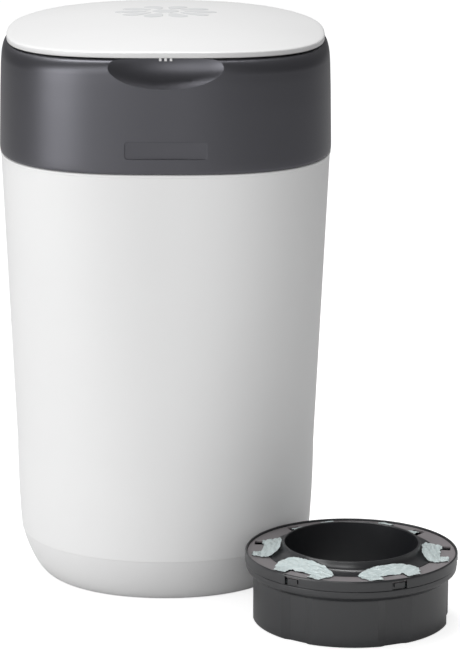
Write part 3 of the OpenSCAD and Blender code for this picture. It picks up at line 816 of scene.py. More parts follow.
def spline(points: Outline, steps: int) -> list[tuple[float, float]]:
    """Draws a smooth line through points.

    Args:
        points: The points.
        steps: Number of straight parts between each two.

    Returns:
        The points of the line.
    """
    ends = [points[0], *points, points[-1]]
    line = []
    for a, b, c, d in zip(ends, ends[1:], ends[2:], ends[3:]):
        for k in range(steps):
            t = k / steps
            line.append(tuple(
                0.5 * (2 * q + (r - p) * t + (2 * p - 5 * q + 4 * r - s) * t ** 2
                       + (3 * q - p - 3 * r + s) * t ** 3)
                for p, q, r, s in zip(a, b, c, d)))
    return line + [points[-1]]


def turned(name: str, profile: Outline, count: int = 240) -> Object:
    """Turns a closed outline round Z, sizes in millimetres.

    Args:
        name: Name of the new piece.
        profile: Radius and height of each corner.
        count: Number of flats round it.

    Returns:
        The new object.
    """
    turns = [2 * math.pi * i / count for i in range(count)]
    rings = [[(r * math.cos(t) * MM, r * math.sin(t) * MM, z * MM) for t in turns]
             for r, z in profile]
    return loft(name, rings, joined=True)


def around(obj: Object, count: int) -> Object:
    """Copies an object evenly round Z and joins the copies into it.

    Args:
        obj: The object.
        count: How many of it there are in the end.

    Returns:
        The object.
    """
    copies = []
    for index in range(1, count):
        copy = obj.copy()
        copy.data = obj.data.copy()
        bpy.context.collection.objects.link(copy)
        copy.rotation_euler.z = 2 * math.pi * index / count
        copies.append(copy)
    pick(obj)
    for copy in copies:
        copy.select_set(True)
    bpy.ops.object.join()
    return obj


def finish_piece(
    obj: Object, body: Body, slot: Slot, finishes: Finishes, *nodes: str
) -> Object:
    """Dresses a piece, puts it on its body and hides the nodes it stands for.

    Args:
        obj: The piece, at the origin.
        body: The body that carries it.
        slot: The slot whose finish it takes.
        finishes: The finishes of the bin.
        *nodes: The model's nodes that it stands for.

    Returns:
        The piece.
    """
    finishes.dress(obj, slot)
    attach(obj, body.value)
    if nodes:
        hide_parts(*nodes)
    log.info("%s: %d faces on %s", obj.name, len(obj.data.polygons), body.value)
    return obj


# ---- sub-assemblies ---------------------------------------------------------


@dataclass
class Tub:
    """The white tub with its rim, base band and hinge ears, sizes in millimetres.

    Attributes:
        finishes: Finishes of the bin.
        foot_half: Half width of the foot.
        foot_up: Exponent of the foot's rounding, upwards.
        foot_out: Exponent of the foot's rounding, outwards.
        band_z: Height of the base band.
        band_half: Half width above the band.
        band_step: How far the band stays inside that.
        band_draft: Slope that the band is hollowed by.
        belly_z: Height where the straight taper starts.
        belly_half: Half width there.
        low_square: Corner exponent near the floor.
        rim_half: Half width under the rim's bead.
        bead: Levels of the bead, outward of the rim and above the parting line.
        spigot_half: Half width of the spigot inside the collar.
        spigot_wall: Wall of the spigot.
        spigot_top: Height of its top.
        spigot_edge: Levels of its edge, inward of it and below its top.
        wall: Wall of the tub.
        floor: Height of the floor's inside.
        recess_r: Radius of the recess under the floor.
        recess_depth: Depth of that recess.
        stations: Points on each level.
    """

    finishes: Finishes
    foot_half: float = SEAM_HALF - 36.5
    foot_up: float = 1.4
    foot_out: float = 1.6
    band_z: float = BAND_Z
    band_half: float = SEAM_HALF - 14.7
    band_step: float = 0.5
    band_draft: float = 0.07
    belly_z: float = 110.0
    belly_half: float = SEAM_HALF - 11.7
    low_square: float = 2.08
    rim_half: float = SEAM_HALF - 0.5
    bead: Table = ((0.25, -2.9), (0.5, -2.4), (0.55, -1.8), (0.3, -1.1), (-0.6, -0.6))
    spigot_half: float = SEAM_HALF - 4.3
    spigot_wall: float = 2.3
    spigot_top: float = SEAM_Z + 9.0
    spigot_edge: Table = ((0.0, 0.8), (0.3, 0.2), (0.8, 0.0))
    wall: float = 2.4
    floor: float = 4.6
    recess_r: float = 84.0
    recess_depth: float = 2.0
    stations: int = 256

    def half_at(self, z: float) -> float:
        """Finds the half width of the outside.

        Args:
            z: Height over the floor.

        Returns:
            The half width there.
        """
        if z < self.band_z:
            rise = self.band_half - self.band_step - self.foot_half
            share = 1 - max(0.0, 1 - z / self.band_z) ** self.foot_up
            draft = self.band_draft * z * (1 - z / self.band_z)
            return self.foot_half + rise * share ** (1 / self.foot_out) - draft
        if z < self.belly_z:
            share = (self.belly_z - z) / (self.belly_z - self.band_z)
            return self.belly_half - (self.belly_half - self.band_half) * share ** 2
        share = (z - self.belly_z) / (SEAM_Z - self.belly_z)
        return self.belly_half + (self.rim_half - self.belly_half) * share

    def square_at(self, z: float) -> float:
        """Finds the corner exponent.

        Args:
            z: Height over the floor.

        Returns:
            The exponent there.
        """
        t = max(0.0, min(1.0, (z - self.band_z) / (SEAM_Z - self.band_z)))
        return self.low_square + (HIGH_SQUARE - self.low_square) * t * t * (3 - 2 * t)

    def levels(self) -> list[Level]:
        """Lists the levels of the wall.

        Returns:
            The levels from the foot up the outside and down the inside.
        """
        low = self.low_square
        heights = [self.band_z * (s / 26) ** 2.2 for s in range(26)]
        rows = [Level(self.half_at(z), z, low) for z in heights]
        rows += [Level(self.half_at(self.band_z - 0.01), self.band_z - 0.25, low),
                 Level(self.band_half - 0.12, self.band_z + 0.1, low)]
        for s in range(1, 15):
            z = self.band_z + (self.belly_z - self.band_z) * s / 14
            rows.append(Level(self.half_at(z), z, self.square_at(z)))
        for s in range(1, 25):
            z = self.belly_z + (SEAM_Z - 3.4 - self.belly_z) * s / 24
            rows.append(Level(self.half_at(z), z, self.square_at(z)))
        rim, top = self.rim_half, HIGH_SQUARE
        rows += [Level(rim + grow, SEAM_Z + rise, top) for grow, rise in self.bead]
        rows.append(Level(self.spigot_half, SEAM_Z - 0.5, top))
        rows += [Level(self.spigot_half - back, self.spigot_top - drop, top)
                 for back, drop in self.spigot_edge]
        inner = self.spigot_half - self.spigot_wall
        rows += [Level(inner, self.spigot_top, top), Level(inner, SEAM_Z - 2, top),
                 Level(rim - self.wall, SEAM_Z - 9, top)]
        for s in range(1, 12):
            z = SEAM_Z - 9 - (SEAM_Z - 9 - self.belly_z) * s / 11
            rows.append(Level(self.half_at(z) - self.wall, z, self.square_at(z)))
        rows.append(Level(self.half_at(self.band_z) - self.wall, self.band_z + 8, low))
        rows += [Level(self.half_at(self.band_z * s) - self.wall, self.band_z * s + lift, low)
                 for s, lift in ((0.7, 1.0), (0.45, 1.0), (0.3, 1.4), (0.2, 1.8))]
        rows += [Level(self.foot_half - self.wall, self.floor + 0.8, low),
                 Level(self.foot_half - self.wall - 3, self.floor, low)]
        return rows

    def ear(self, side: int) -> Object:
        """Builds one hinge ear behind the tub.

        Args:
            side: -1 for the left ear, 1 for the right.

        Returns:
            The ear.
        """
        inner = KNUCKLE_HALF + GAP
        outer = inner + 12.0
        root = SEAM_HALF * DEPTH_RATIO - 2.6
        outline = [(root, TILT_Z - 18), (root + 3, TILT_Z - 18)]
        outline += arc(TILT_Y, TILT_Z, TILT_BARREL, -38.0, 100.0, 20)
        outline += [(TILT_Y - 3, SEAM_Z - 0.9), (root, SEAM_Z - 0.9)]
        start, end = sorted((side * inner, side * outer))
        return prism("ear", outline, start, end)

    def build(self) -> None:
        """Builds the tub and dresses the pin of its hinge."""
        shell = loft("tub", [row.ring(self.stations) for row in self.levels()], joined=False)
        for side in (-1, 1):
            combine(shell, self.ear(side), "UNION")
        recess = cylinder("recess", self.recess_r, self.recess_depth + 1,
                          (0.0, 0.0, (self.recess_depth - 1) / 2), sides=128)
        combine(shell, recess, "DIFFERENCE")
        combine(shell, rod("bore", TILT_PIN_R, -40, 40, TILT_Y, TILT_Z), "DIFFERENCE")
        smooth(shell)
        finish_piece(shell, Body.TUB, Slot.TUB_WHITE, self.finishes, "tub_shell")
        self.finishes.dress_nodes({"tilt_pin": Slot.STEEL})


@dataclass
class Head:
    """The charcoal collar with its scoop, and what it carries, sizes in millimetres.

    Attributes:
        finishes: Finishes of the bin.
        side_top: Height above the parting line where the upright side ends.
        droop_from: How far the droop towards the sides starts below the lid's edge.
        shoulder_drop: How far the shoulder's rounding starts below it.
        plate_width: Width of the bare name plate recess.
        plate_height: Height of that recess.
        plate_rise: Height of its middle above the parting line.
        plate_depth: Depth of the recess.
        plate_round: Radius of its corners.
        foot: Levels of the lower edge, outward of the side and above the parting line.
        shoulder: Levels of the shoulder, outward of the side, above the lid's edge,
            and their corner exponents.
        stations: Points on each level.
    """

    finishes: Finishes
    side_top: float = 50.0
    droop_from: float = 20.0
    shoulder_drop: float = 10.2
    plate_width: float = 65.0
    plate_height: float = 14.0
    plate_rise: float = 19.0
    plate_depth: float = 1.7
    plate_round: float = 2.5
    foot: Table = ((-0.4, 0.0), (0.0, 0.3), (0.2, 0.9), (0.3, 2.5))
    shoulder: Table = (
        (-1.9, -8.0, 2.72), (-2.3, -6.2, 2.68), (-2.85, -4.7, 2.65), (-3.6, -3.4, 2.62),
        (-4.4, -2.45, 2.60), (-5.4, -1.7, 2.58), (-6.5, -1.25, 2.56), (-7.6, -1.0, 2.54))
    stations: int = 320

    def levels(self) -> list[Level]:
        """Lists the levels of the wall.

        Returns:
            The levels from the foot up the outside and down the inside.
        """
        half, top, side, fall = SEAM_HALF, HIGH_SQUARE, self.side_top, self.droop_from
        rows = [Level(half + grow, SEAM_Z + rise, top) for grow, rise in self.foot]
        low = self.foot[-1][1]
        for s in range(1, 9):
            t = s / 8
            rows.append(Level(half + 0.3 - 0.8 * t, SEAM_Z + low + (side - low) * t, top))
        for s in range(1, 7):
            t = s / 6
            z = SEAM_Z + side + (LID_Z - fall - SEAM_Z - side) * t
            rows.append(Level(half - 0.5 - 0.6 * t, z, top, SIDE_DROOP / 2 * t))
        for s in range(1, 5):
            t = s / 4
            z = LID_Z - fall + (fall - self.shoulder_drop) * t
            rows.append(Level(half - 1.1 - 0.5 * t, z, top, SIDE_DROOP / 2 * (1 + t)))
        rows += [Level(half + grow, LID_Z + rise, square, SIDE_DROOP)
                 for grow, rise, square in self.shoulder]
        lining = (
            (LIP_HALF, LID_Z - 1, LID_SQUARE, SIDE_DROOP, 0.0),
            (LIP_HALF, DECK_TOP, LID_SQUARE, 0.0, 0.0),
            (LIP_HALF + 2.6, DECK_TOP, LID_SQUARE, 0.0, -0.4),
            (half - 4.6, DECK_TOP - 1.5, top, 0.0, -0.4),
            (half - 3.7, LID_Z - 21, top, SIDE_DROOP / 2, 0.0),
            (half - 3.4, LID_Z - 29, top, 0.0, 0.0), (half - 3.1, LID_Z - 38, top, 0.0, 0.0),
            (half - 2.9, SEAM_Z + 12, top, 0.0, 0.0), (half - 3.0, SEAM_Z, top, 0.0, 0.0))
        return rows + [Level(*row) for row in lining]

    def scoop(self) -> Object:
        """Builds the round-bottomed body that the finger scoop is cut with.

        Returns:
            The tool.
        """
        deselect()
        bpy.ops.mesh.primitive_uv_sphere_add(
            segments=160, ring_count=96, radius=1.0,
            location=(0.0, SCOOP_Y * MM, SCOOP_Z * MM), rotation=(0.0, math.pi / 2, 0.0))
        obj = newest("scoop")
        obj.scale = (SCOOP_R * MM, SCOOP_R * MM, SCOOP_HALF * MM)
        settle(obj)
        return obj

    def plate(self) -> Object:
        """Builds the slab that the bare name plate recess is cut with.

        Returns:
            The tool.
        """
        face = -(SEAM_HALF + 0.2) * DEPTH_RATIO + self.plate_depth
        middle = SEAM_Z + self.plate_rise
        obj = block("plate", (-self.plate_width / 2, face - 10, middle - self.plate_height / 2),
                    (self.plate_width / 2, face, middle + self.plate_height / 2))
        bpy.ops.object.mode_set(mode="EDIT")
        bpy.ops.mesh.select_all(action="DESELECT")
        mesh = bmesh.from_edit_mesh(obj.data)
        for edge in mesh.edges:
            run = edge.verts[0].co - edge.verts[1].co
            edge.select_set(abs(run.y) > 9 * MM)
        bpy.ops.mesh.bevel(offset=self.plate_round * MM, segments=8)
        bpy.ops.object.mode_set(mode="OBJECT")
        return obj

    def knuckle(self) -> Object:
        """Builds the collar's half of the tilt hinge.

        Returns:
            The knuckle.
        """
        y, z, r = TILT_Y, TILT_Z, TILT_BARREL
        outline = arc(y, z, r, -180.0, 0.0, 24)
        outline += [(y + r, z + r / 2), (y - 3.6, SEAM_Z + 12), (y - 8.6, SEAM_Z + 12),
                    (y - 8.6, SEAM_Z + 0.4), (y - 6.2, SEAM_Z + 0.4)]
        return prism("knuckle", outline, -KNUCKLE_HALF, KNUCKLE_HALF)

    def build(self) -> None:
        """Builds the collar and dresses the nodes of the head and of what turns in it."""
        rings = [row.ring(self.stations) for row in self.levels()]
        collar = loft("collar_ring", rings, joined=True)
        combine(collar, self.knuckle(), "UNION")
        bosses = block("bosses", (-BOSS_HALF, LID_PIN_Y - 7, LID_PIN_Z - LID_BARREL - 1.6),
                       (BOSS_HALF, LID_PIN_Y + 4.2, DECK_TOP + 0.6))
        combine(collar, bosses, "UNION")
        combine(collar, self.scoop(), "DIFFERENCE")
        combine(collar, self.plate(), "DIFFERENCE")
        combine(collar, rod("bore", TILT_PIN_R + PIN_FIT, -21, 21, TILT_Y, TILT_Z), "DIFFERENCE")
        combine(collar, rod("bore", LID_PIN_R, -42, 39, LID_PIN_Y, LID_PIN_Z), "DIFFERENCE")
        wide = ARM_WIDE / 2 + GAP + 1
        for x in (-ARM_X, ARM_X):
            slot = block("slot", (x - wide, LID_PIN_Y - 12, LID_PIN_Z - LID_BARREL - 2),
                         (x + wide, TILT_Y, LID_Z + 1))
            combine(collar, slot, "DIFFERENCE")
        smooth(collar)
        finish_piece(collar, Body.HEAD, Slot.COLLAR_CHARCOAL, self.finishes, "collar")
        self.finishes.dress_nodes({
            "deck": Slot.COLLAR_CHARCOAL, "rotor_housing": Slot.HOUSING_GREY,
            "housing_screws": Slot.STEEL, "click_tongues": Slot.HOUSING_GREY,
            "lid_pin": Slot.STEEL, "seam_gasket": Slot.GASKET_RUBBER,
            "catch_keeper": Slot.COLLAR_CHARCOAL, "cassette_carrier": Slot.CARRIER_GREY,
            "grip_ring": Slot.GRIP_LIGHT, "cutter_ring": Slot.HOUSING_GREY,
            "cutter_button": Slot.BUTTON_DARK, "cutter_blade": Slot.BLADE_STEEL})


@dataclass
class Lid:
    """The white dome with its motif, and the liner under it, sizes in millimetres.

    Attributes:
        finishes: Finishes of the bin.
        crown: Height of the dome's middle above the lid's lower edge.
        edge: Height of the lid's upright edge.
        wall: Wall of the dome.
        floor: Height of the liner's underside.
        liner_thick: Wall of the liner.
        screw_x: Distance of the liner's screws from the middle, to the side.
        screw_y: Their distance to the front and back.
        boss_r: Radius of the bosses that take them.
        sink_r: Radius of the sinks for their heads.
        motif_y: How far the motif's middle lies behind the dome's.
        motif_wide: Half width of the motif.
        motif_deep: Half depth of the motif.
        motif_thick: Thickness of its inlays, half of it proud of the dome.
        heart: Radius of its middle, like the next three a share of its half sizes.
        petal_at: Distance of a petal's middle from the motif's.
        petal_long: Half length of a petal.
        petal_wide: Half width of a petal at its middle.
        petal_flare: Share that it is wider by at its outer end.
        petals: Number of its petals.
        stations: Points on each level.
    """

    finishes: Finishes
    crown: float = 12.0
    edge: float = 4.8
    wall: float = 2.2
    floor: float = LID_Z - 4.2
    liner_thick: float = 2.0
    screw_x: float = 70.0
    screw_y: float = 58.0
    boss_r: float = 4.0
    sink_r: float = 3.1
    motif_y: float = 26.0
    motif_wide: float = 42.0
    motif_deep: float = 31.0
    motif_thick: float = 0.36
    heart: float = 0.26
    petal_at: float = 0.68
    petal_long: float = 0.32
    petal_wide: float = 0.165
    petal_flare: float = 0.45
    petals: int = 10
    stations: int = 256

    def at_screws(
        self, obj: Object, radius: float, low: float, tall: float, operation: str
    ) -> None:
        """Combines an object with an upright cylinder at each screw of the liner.

        Args:
            obj: The dome or the liner.
            radius: Radius of the cylinders.
            low: Height of their lower ends.
            tall: Their length.
            operation: UNION for bosses, DIFFERENCE for sinks.
        """
        for x in (-self.screw_x, self.screw_x):
            for y in (-self.screw_y, self.screw_y):
                post = cylinder("post", radius, tall, (x, y, low + tall / 2), sides=48)
                combine(obj, post, operation)

    def over(self, x: float, y: float) -> float:
        """Finds the height of the dome's outside.

        Args:
            x: Distance from its middle, sideways.
            y: Distance from its middle, backwards.

        Returns:
            The height over that point.
        """
        half = (abs(x) ** LID_SQUARE + abs(y / DEPTH_RATIO) ** LID_SQUARE) ** (1 / LID_SQUARE)
        return self.dome(half) - SIDE_DROOP * (x / LID_HALF) ** 2

    def petal(self, index: int) -> Object:
        """Builds one petal of the motif as a thin inlay.

        Args:
            index: Number of the petal; the one after the last gives the middle.

        Returns:
            The inlay.
        """
        turn = 2 * math.pi * index / self.petals
        middle = index == self.petals
        deselect()
        bpy.ops.mesh.primitive_circle_add(vertices=48, radius=1.0, fill_type="TRIFAN")
        obj = newest("motif_middle" if middle else f"motif_petal_{index + 1}")
        bpy.ops.object.mode_set(mode="EDIT")
        mesh = bmesh.from_edit_mesh(obj.data)
        for vert in mesh.verts:
            reach, side = self.heart * vert.co.x, self.heart * vert.co.y
            if not middle:
                reach = self.petal_at + self.petal_long * vert.co.x
                side = self.petal_wide * vert.co.y * (1 + self.petal_flare * vert.co.x)
            x = self.motif_wide * (reach * math.cos(turn) - side * math.sin(turn))
            y = self.motif_y + self.motif_deep * (reach * math.sin(turn) + side * math.cos(turn))
            vert.co = (x * MM, y * MM, self.over(x, y) * MM)
        bpy.ops.object.mode_set(mode="OBJECT")
        apply_modifier(obj, "SOLIDIFY", thickness=self.motif_thick * MM, offset=0.0)
        return obj

    def liner(self) -> Object:
        """Builds the tray under the dome with its two arms.

        Returns:
            The liner.
        """
        well = LIP_HALF - 11.0
        low, high = LID_Z, LID_Z + 1.3
        floor, thick = self.floor, self.liner_thick
        rows = [Level(well * s, floor, LID_SQUARE) for s in (0.2, 0.5, 0.75, 0.92)]
        rim = (
            (well - 0.8, floor, 0.0), (well, floor + 0.2, 0.0), (well + 0.7, floor + 0.9, 0.8),
            (well + 2.6, low - 0.6, 3.6), (well + 3.4, low, SIDE_DROOP),
            (LIP_HALF + 1.5, low, SIDE_DROOP), (LIP_HALF + 1.7, low + 0.2, SIDE_DROOP),
            (LIP_HALF + 1.7, high, SIDE_DROOP), (well + 4, high, SIDE_DROOP),
            (well - 1, floor + thick, 0.0))
        rows += [Level(half, z, LID_SQUARE, droop) for half, z, droop in rim]
        rows += [Level(well * s, floor + thick, LID_SQUARE) for s in (0.8, 0.4, 0.1)]
        liner = loft("liner", [row.ring(self.stations) for row in rows], joined=False)
        y, z = LID_PIN_Y, LID_PIN_Z
        outline = arc(y, z, LID_BARREL, 180.0, 360.0, 24)
        outline += [(y, LID_Z - 3), (y - 3.8, LID_Z + 1), (y - 9.6, LID_Z + 1),
                    (y - 9.6, LID_Z - 0.4)]
        for x in (-ARM_X, ARM_X):
            combine(liner, prism("arm", outline, x - ARM_WIDE / 2, x + ARM_WIDE / 2), "UNION")
        combine(liner, rod("bore", LID_PIN_R + PIN_FIT, -41, 41, y, z), "DIFFERENCE")
        self.at_screws(liner, self.sink_r, floor - 1, 2.1, "DIFFERENCE")
        smooth(liner)
        return liner

    def dome(self, half: float) -> float:
        """Returns the height of the dome's outside at a half width."""
        return LID_Z + self.edge + (self.crown - self.edge) * (1 - (half / LID_HALF) ** 2.2)

    def levels(self) -> list[Level]:
        """Lists the levels of the wall.

        Returns:
            The levels from the middle of the inside round to the top.
        """
        rows = [Level(LID_HALF * s, self.dome(LID_HALF * s) - self.wall, LID_SQUARE, SIDE_DROOP)
                for s in (0.3, 0.45, 0.6, 0.75, 0.88, 0.945)]
        edge = [(-3.4, 2.2), (-2.8, 0.0), (-1.4, 0.0), (-0.75, 0.12), (-0.3, 0.4), (-0.06, 0.85),
                (0.0, 1.3), (0.0, 3.3), (-0.06, 3.8), (-0.3, 4.3), (-0.85, 4.7), (-1.7, 4.97)]
        rows += [Level(LID_HALF + grow, LID_Z + rise, LID_SQUARE, SIDE_DROOP)
                 for grow, rise in edge]
        shares = (0.97, 0.95, 0.92, 0.88, 0.83, 0.77, 0.7, 0.62, 0.53, 0.43, 0.33, 0.23, 0.14, 0.06)
        rows += [Level(LID_HALF * s, self.dome(LID_HALF * s), LID_SQUARE, SIDE_DROOP)
                 for s in shares]
        return rows

    def build(self) -> None:
        """Builds the dome, its motif and the liner, and dresses what they carry."""
        dome = loft("lid_dome", [row.ring(self.stations) for row in self.levels()], joined=False)
        seat = self.floor + self.liner_thick + SEAT
        self.at_screws(dome, self.boss_r, seat, self.edge + 3.6, "UNION")
        smooth(dome, 40.0)
        finish_piece(dome, Body.LID, Slot.LID_WHITE, self.finishes, "lid_cover")
        for index in range(self.petals + 1):
            # The record has one slot for the lid, so the print takes its own finish after.
            petal = finish_piece(self.petal(index), Body.LID, Slot.LID_WHITE, self.finishes)
            self.finishes.dress(petal, Slot.MOTIF_GREY)
        finish_piece(self.liner(), Body.LID, Slot.LINER_WHITE, self.finishes, "lid_liner")
        self.finishes.dress_nodes({
            "liner_screws": Slot.STEEL, "lid_seal": Slot.GASKET_RUBBER,
            "lid_catch": Slot.LID_WHITE})


@dataclass
class Cassette:
    """The refill cassette that stands beside the tub, sizes in millimetres on its own axis.

    Attributes:
        finishes: Finishes of the bin.
        turn: Direction its first key faces, in degrees.
        keys: Number of clips, gates and flutes round it.
        tray_r: Radius of the tray's wall.
        tube_r: Radius of the inner tube.
        wall: Wall of the mouldings.
        tall: Height of the tube's rim.
        tray_tall: Height of the tray's upright wall.
        flange_top: Height of the tray's flange.
        clip_top: Height of the clip band.
        cap_z: Height of the cap's underside.
        cap_top: Height of the cap.
        flute_deep: Depth of a drive flute.
        flute_wide: Width of its bottom and one slope.
        flute_slope: Width of one slope.
        window_half: Half width of a window in the clip band.
        gate_half: Half width of a gate in the cap.
        leg: How far a gate's legs reach along it from its middle, nearest and farthest.
        sharp: Angle over which an edge stays sharp, in degrees.
    """

    finishes: Finishes
    turn: float = -66.1
    keys: int = 6
    tray_r: float = CLIP_R - 6.3
    tube_r: float = CLIP_R - 30.2
    wall: float = 1.8
    tall: float = 64.0
    tray_tall: float = 39.0
    flange_top: float = 48.3
    clip_top: float = 57.3
    cap_z: float = 54.2
    cap_top: float = 55.7
    flute_deep: float = 3.6
    flute_wide: float = 40.2
    flute_slope: float = 12.7
    window_half: float = 6.5
    gate_half: float = 20.0
    leg: tuple[float, float] = (10.0, 20.0)
    sharp: float = 14.0

    def place(self, obj: Object) -> None:
        """Stands a piece made round the origin on the cassette's place beside the tub.

        Args:
            obj: The piece.
        """
        low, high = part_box("cassette_clip")
        obj.location = ((low.x + high.x) / 2, (low.y + high.y) / 2, 0.0)
        obj.rotation_euler.z = math.radians(self.turn)
        settle(obj)

    def stand(self, obj: Object, slot: Slot, sharp: float, *nodes: str) -> None:
        """Places, smooths and finishes a piece that was made round the origin.

        Args:
            obj: The piece.
            slot: The slot whose finish it takes.
            sharp: Angle over which its edges stay sharp, in degrees.
            *nodes: The model's nodes that it stands for.
        """
        self.place(obj)
        smooth(obj, sharp)
        finish_piece(obj, Body.CASSETTE, slot, self.finishes, *nodes)

    def wedge(self, name: str, low: Point, high: Point) -> Object:
        """Makes a block between two corners and repeats it at every key."""
        return around(block(name, low, high), self.keys)

    def tray(self) -> Object:
        """Builds the trough with its flutes and clip tongues.

        Returns:
            The tray.
        """
        r, z = self.tray_r, self.tray_tall
        foot = [(r + y, h) for y, h in arc(-2.2, 2.2, 2.2, -90, 0, 7)]
        flange = spline([(r, z - 2), (r + 0.1, z - 0.6), (r + 0.8, z + 0.5), (r + 1.9, z + 1.4),
                         (r + 3.4, z + 2.5), (r + 4.8, z + 3.7), (r + 5.4, z + 5.1)], 4)
        top = self.flange_top
        edge = [(CLIP_R - 0.8, top - 1.6), (CLIP_R - 0.9, top - 0.5), (CLIP_R - 1.3, top)]
        bore = self.tube_r - self.wall - 1.6
        inside = r - 4.1
        lining = [(CLIP_R - 4.2, top), (CLIP_R - 4.2, z + 6), (inside, z + 1.5), (inside, 2.0),
                  (bore, 2.0), (bore, 0.0)]
        rise = [(r, 2.2 + (z - 4.2) * k / 6) for k in range(1, 6)]
        tray = turned("tray", foot + rise + flange + edge + lining)
        combine(tray, around(self.flute(), self.keys), "DIFFERENCE")
        half = self.window_half - 1
        near = CLIP_R - self.wall - 2.2
        tongue = (near, -half, top - 0.6), (near + 1.6, half, 54.4)
        hook = (near + 0.8, -half + 1.4, 50.6), (CLIP_R - 0.9, half - 0.6, 54.0)
        for name, corners in (("tongue", tongue), ("hook", hook)):
            combine(tray, self.wedge(name, *corners), "UNION")
        return tray

    def flute(self) -> Object:
        """Makes the body that one drive flute is cut with.

        Returns:
            The tool, at the first key.
        """
        half, slope, deep = self.flute_wide / 2, self.flute_slope, self.flute_deep
        obj = block("flute", (self.tray_r - deep, -half, -1.0),
                    (self.tray_r + deep, half, self.tray_tall))
        for vert in obj.data.vertices:
            lean = slope if vert.co.x > self.tray_r * MM else -slope
            vert.co.y += lean * MM if vert.co.y > 0 else -lean * MM
        return obj

    def clip(self) -> Object:
        """Builds the band that the tongues snap into.

        Returns:
            The band.
        """
        r, low, top, seat = CLIP_R, self.flange_top + 0.2, self.clip_top, self.cap_z
        inner = r - self.wall
        profile = [(inner, low), (r - 0.6, low), (r - 0.15, low + 0.2), (r, low + 0.7),
                   (r, low + 2.5), (r, low + 4.5), (r, top - 1.9), (r - 0.06, top - 1.2),
                   (r - 0.25, top - 0.6), (r - 0.6, top - 0.15), (r - 0.95, top),
                   (r - 1.3, top - 0.12), (inner + 0.1, top - 0.5), (inner, top - 1.0),
                   (inner, seat - 0.05), (inner - 2, seat - 0.05), (inner - 2, seat - 1),
                   (inner, seat - 2.4)]
        clip = turned("clip", profile)
        windows = self.wedge("window", (inner - 3, -self.window_half, low - 1),
                             (r + 1, self.window_half, top - 1.8))
        combine(clip, windows, "DIFFERENCE")
        return clip

    def tube(self) -> Object:
        """Builds the inner tube with its flare, cut back at every gate.

        Returns:
            The tube.
        """
        r, top, seat = self.tube_r, self.tall, self.cap_z
        bore = r - self.wall
        rim = [(bore, top - 0.7), (bore + 0.2, top - 0.2), (bore + 0.6, top), (r - 0.45, top),
               (r - 0.1, top - 0.12), (r, top - 0.5)]
        flare = spline([(r + 0.12, top - 1.2), (r + 0.5, top - 3.0), (r + 1.2, top - 4.8),
                        (r + 2.6, top - 6.3), (r + 5.4, top - 7.3), (r + 9.4, top - 7.7),
                        (r + 12.5, top - 7.85)], 4)
        heel = [(r + 12.5, seat - 0.4), (r + 10.4, seat - 0.4), (r + 10.4, seat + 0.4),
                (r + 5, seat + 1.2), (r + 1, seat + 2.8), (r, seat + 3.4)]
        lining = [(r, 20.0), (r, 2.05), (bore, 2.05), (bore, 24.0), (bore, 44.0)]
        tube = turned("tube", rim + flare + heel + lining)
        notch = self.wedge("notch", (r + 6.8, -self.gate_half, seat - 1),
                           (r + 14, self.gate_half, seat + 6))
        combine(tube, notch, "DIFFERENCE")
        return tube

    def cap(self) -> Object:
        """Builds the flat ring with a gate at every key, each a slot with two legs.

        Returns:
            The cap.
        """
        inner, outer = self.tube_r + 12.6, CLIP_R - self.wall - 0.1
        low, top = self.cap_z, self.cap_top
        cap = turned("cap", [(inner, low), (outer, low), (outer, top - 0.3), (outer - 0.3, top),
                             (inner + 0.2, top), (inner, top - 0.2)])
        slots = self.wedge("slot", (inner - 2, -self.gate_half, low - 1),
                           (inner + 3.4, self.gate_half, top + 1))
        combine(cap, slots, "DIFFERENCE")
        for side in (-1, 1):
            start, end = sorted(side * reach for reach in self.leg)
            legs = self.wedge("leg", (inner, start, low - 1), (outer - 4.5, end, top + 1))
            combine(cap, legs, "DIFFERENCE")
        return cap

    def build(self) -> None:
        """Builds the mouldings and the film."""
        made = {"cassette_tray": self.tray(), "cassette_clip": self.clip(),
                "cassette_tube": self.tube()}
        for node, piece in made.items():
            self.stand(piece, Slot.CASSETTE_BLACK, self.sharp, node)
        self.stand(self.cap(), Slot.CAP_TAUPE, self.sharp, "cassette_cap")
        Film(self).build()


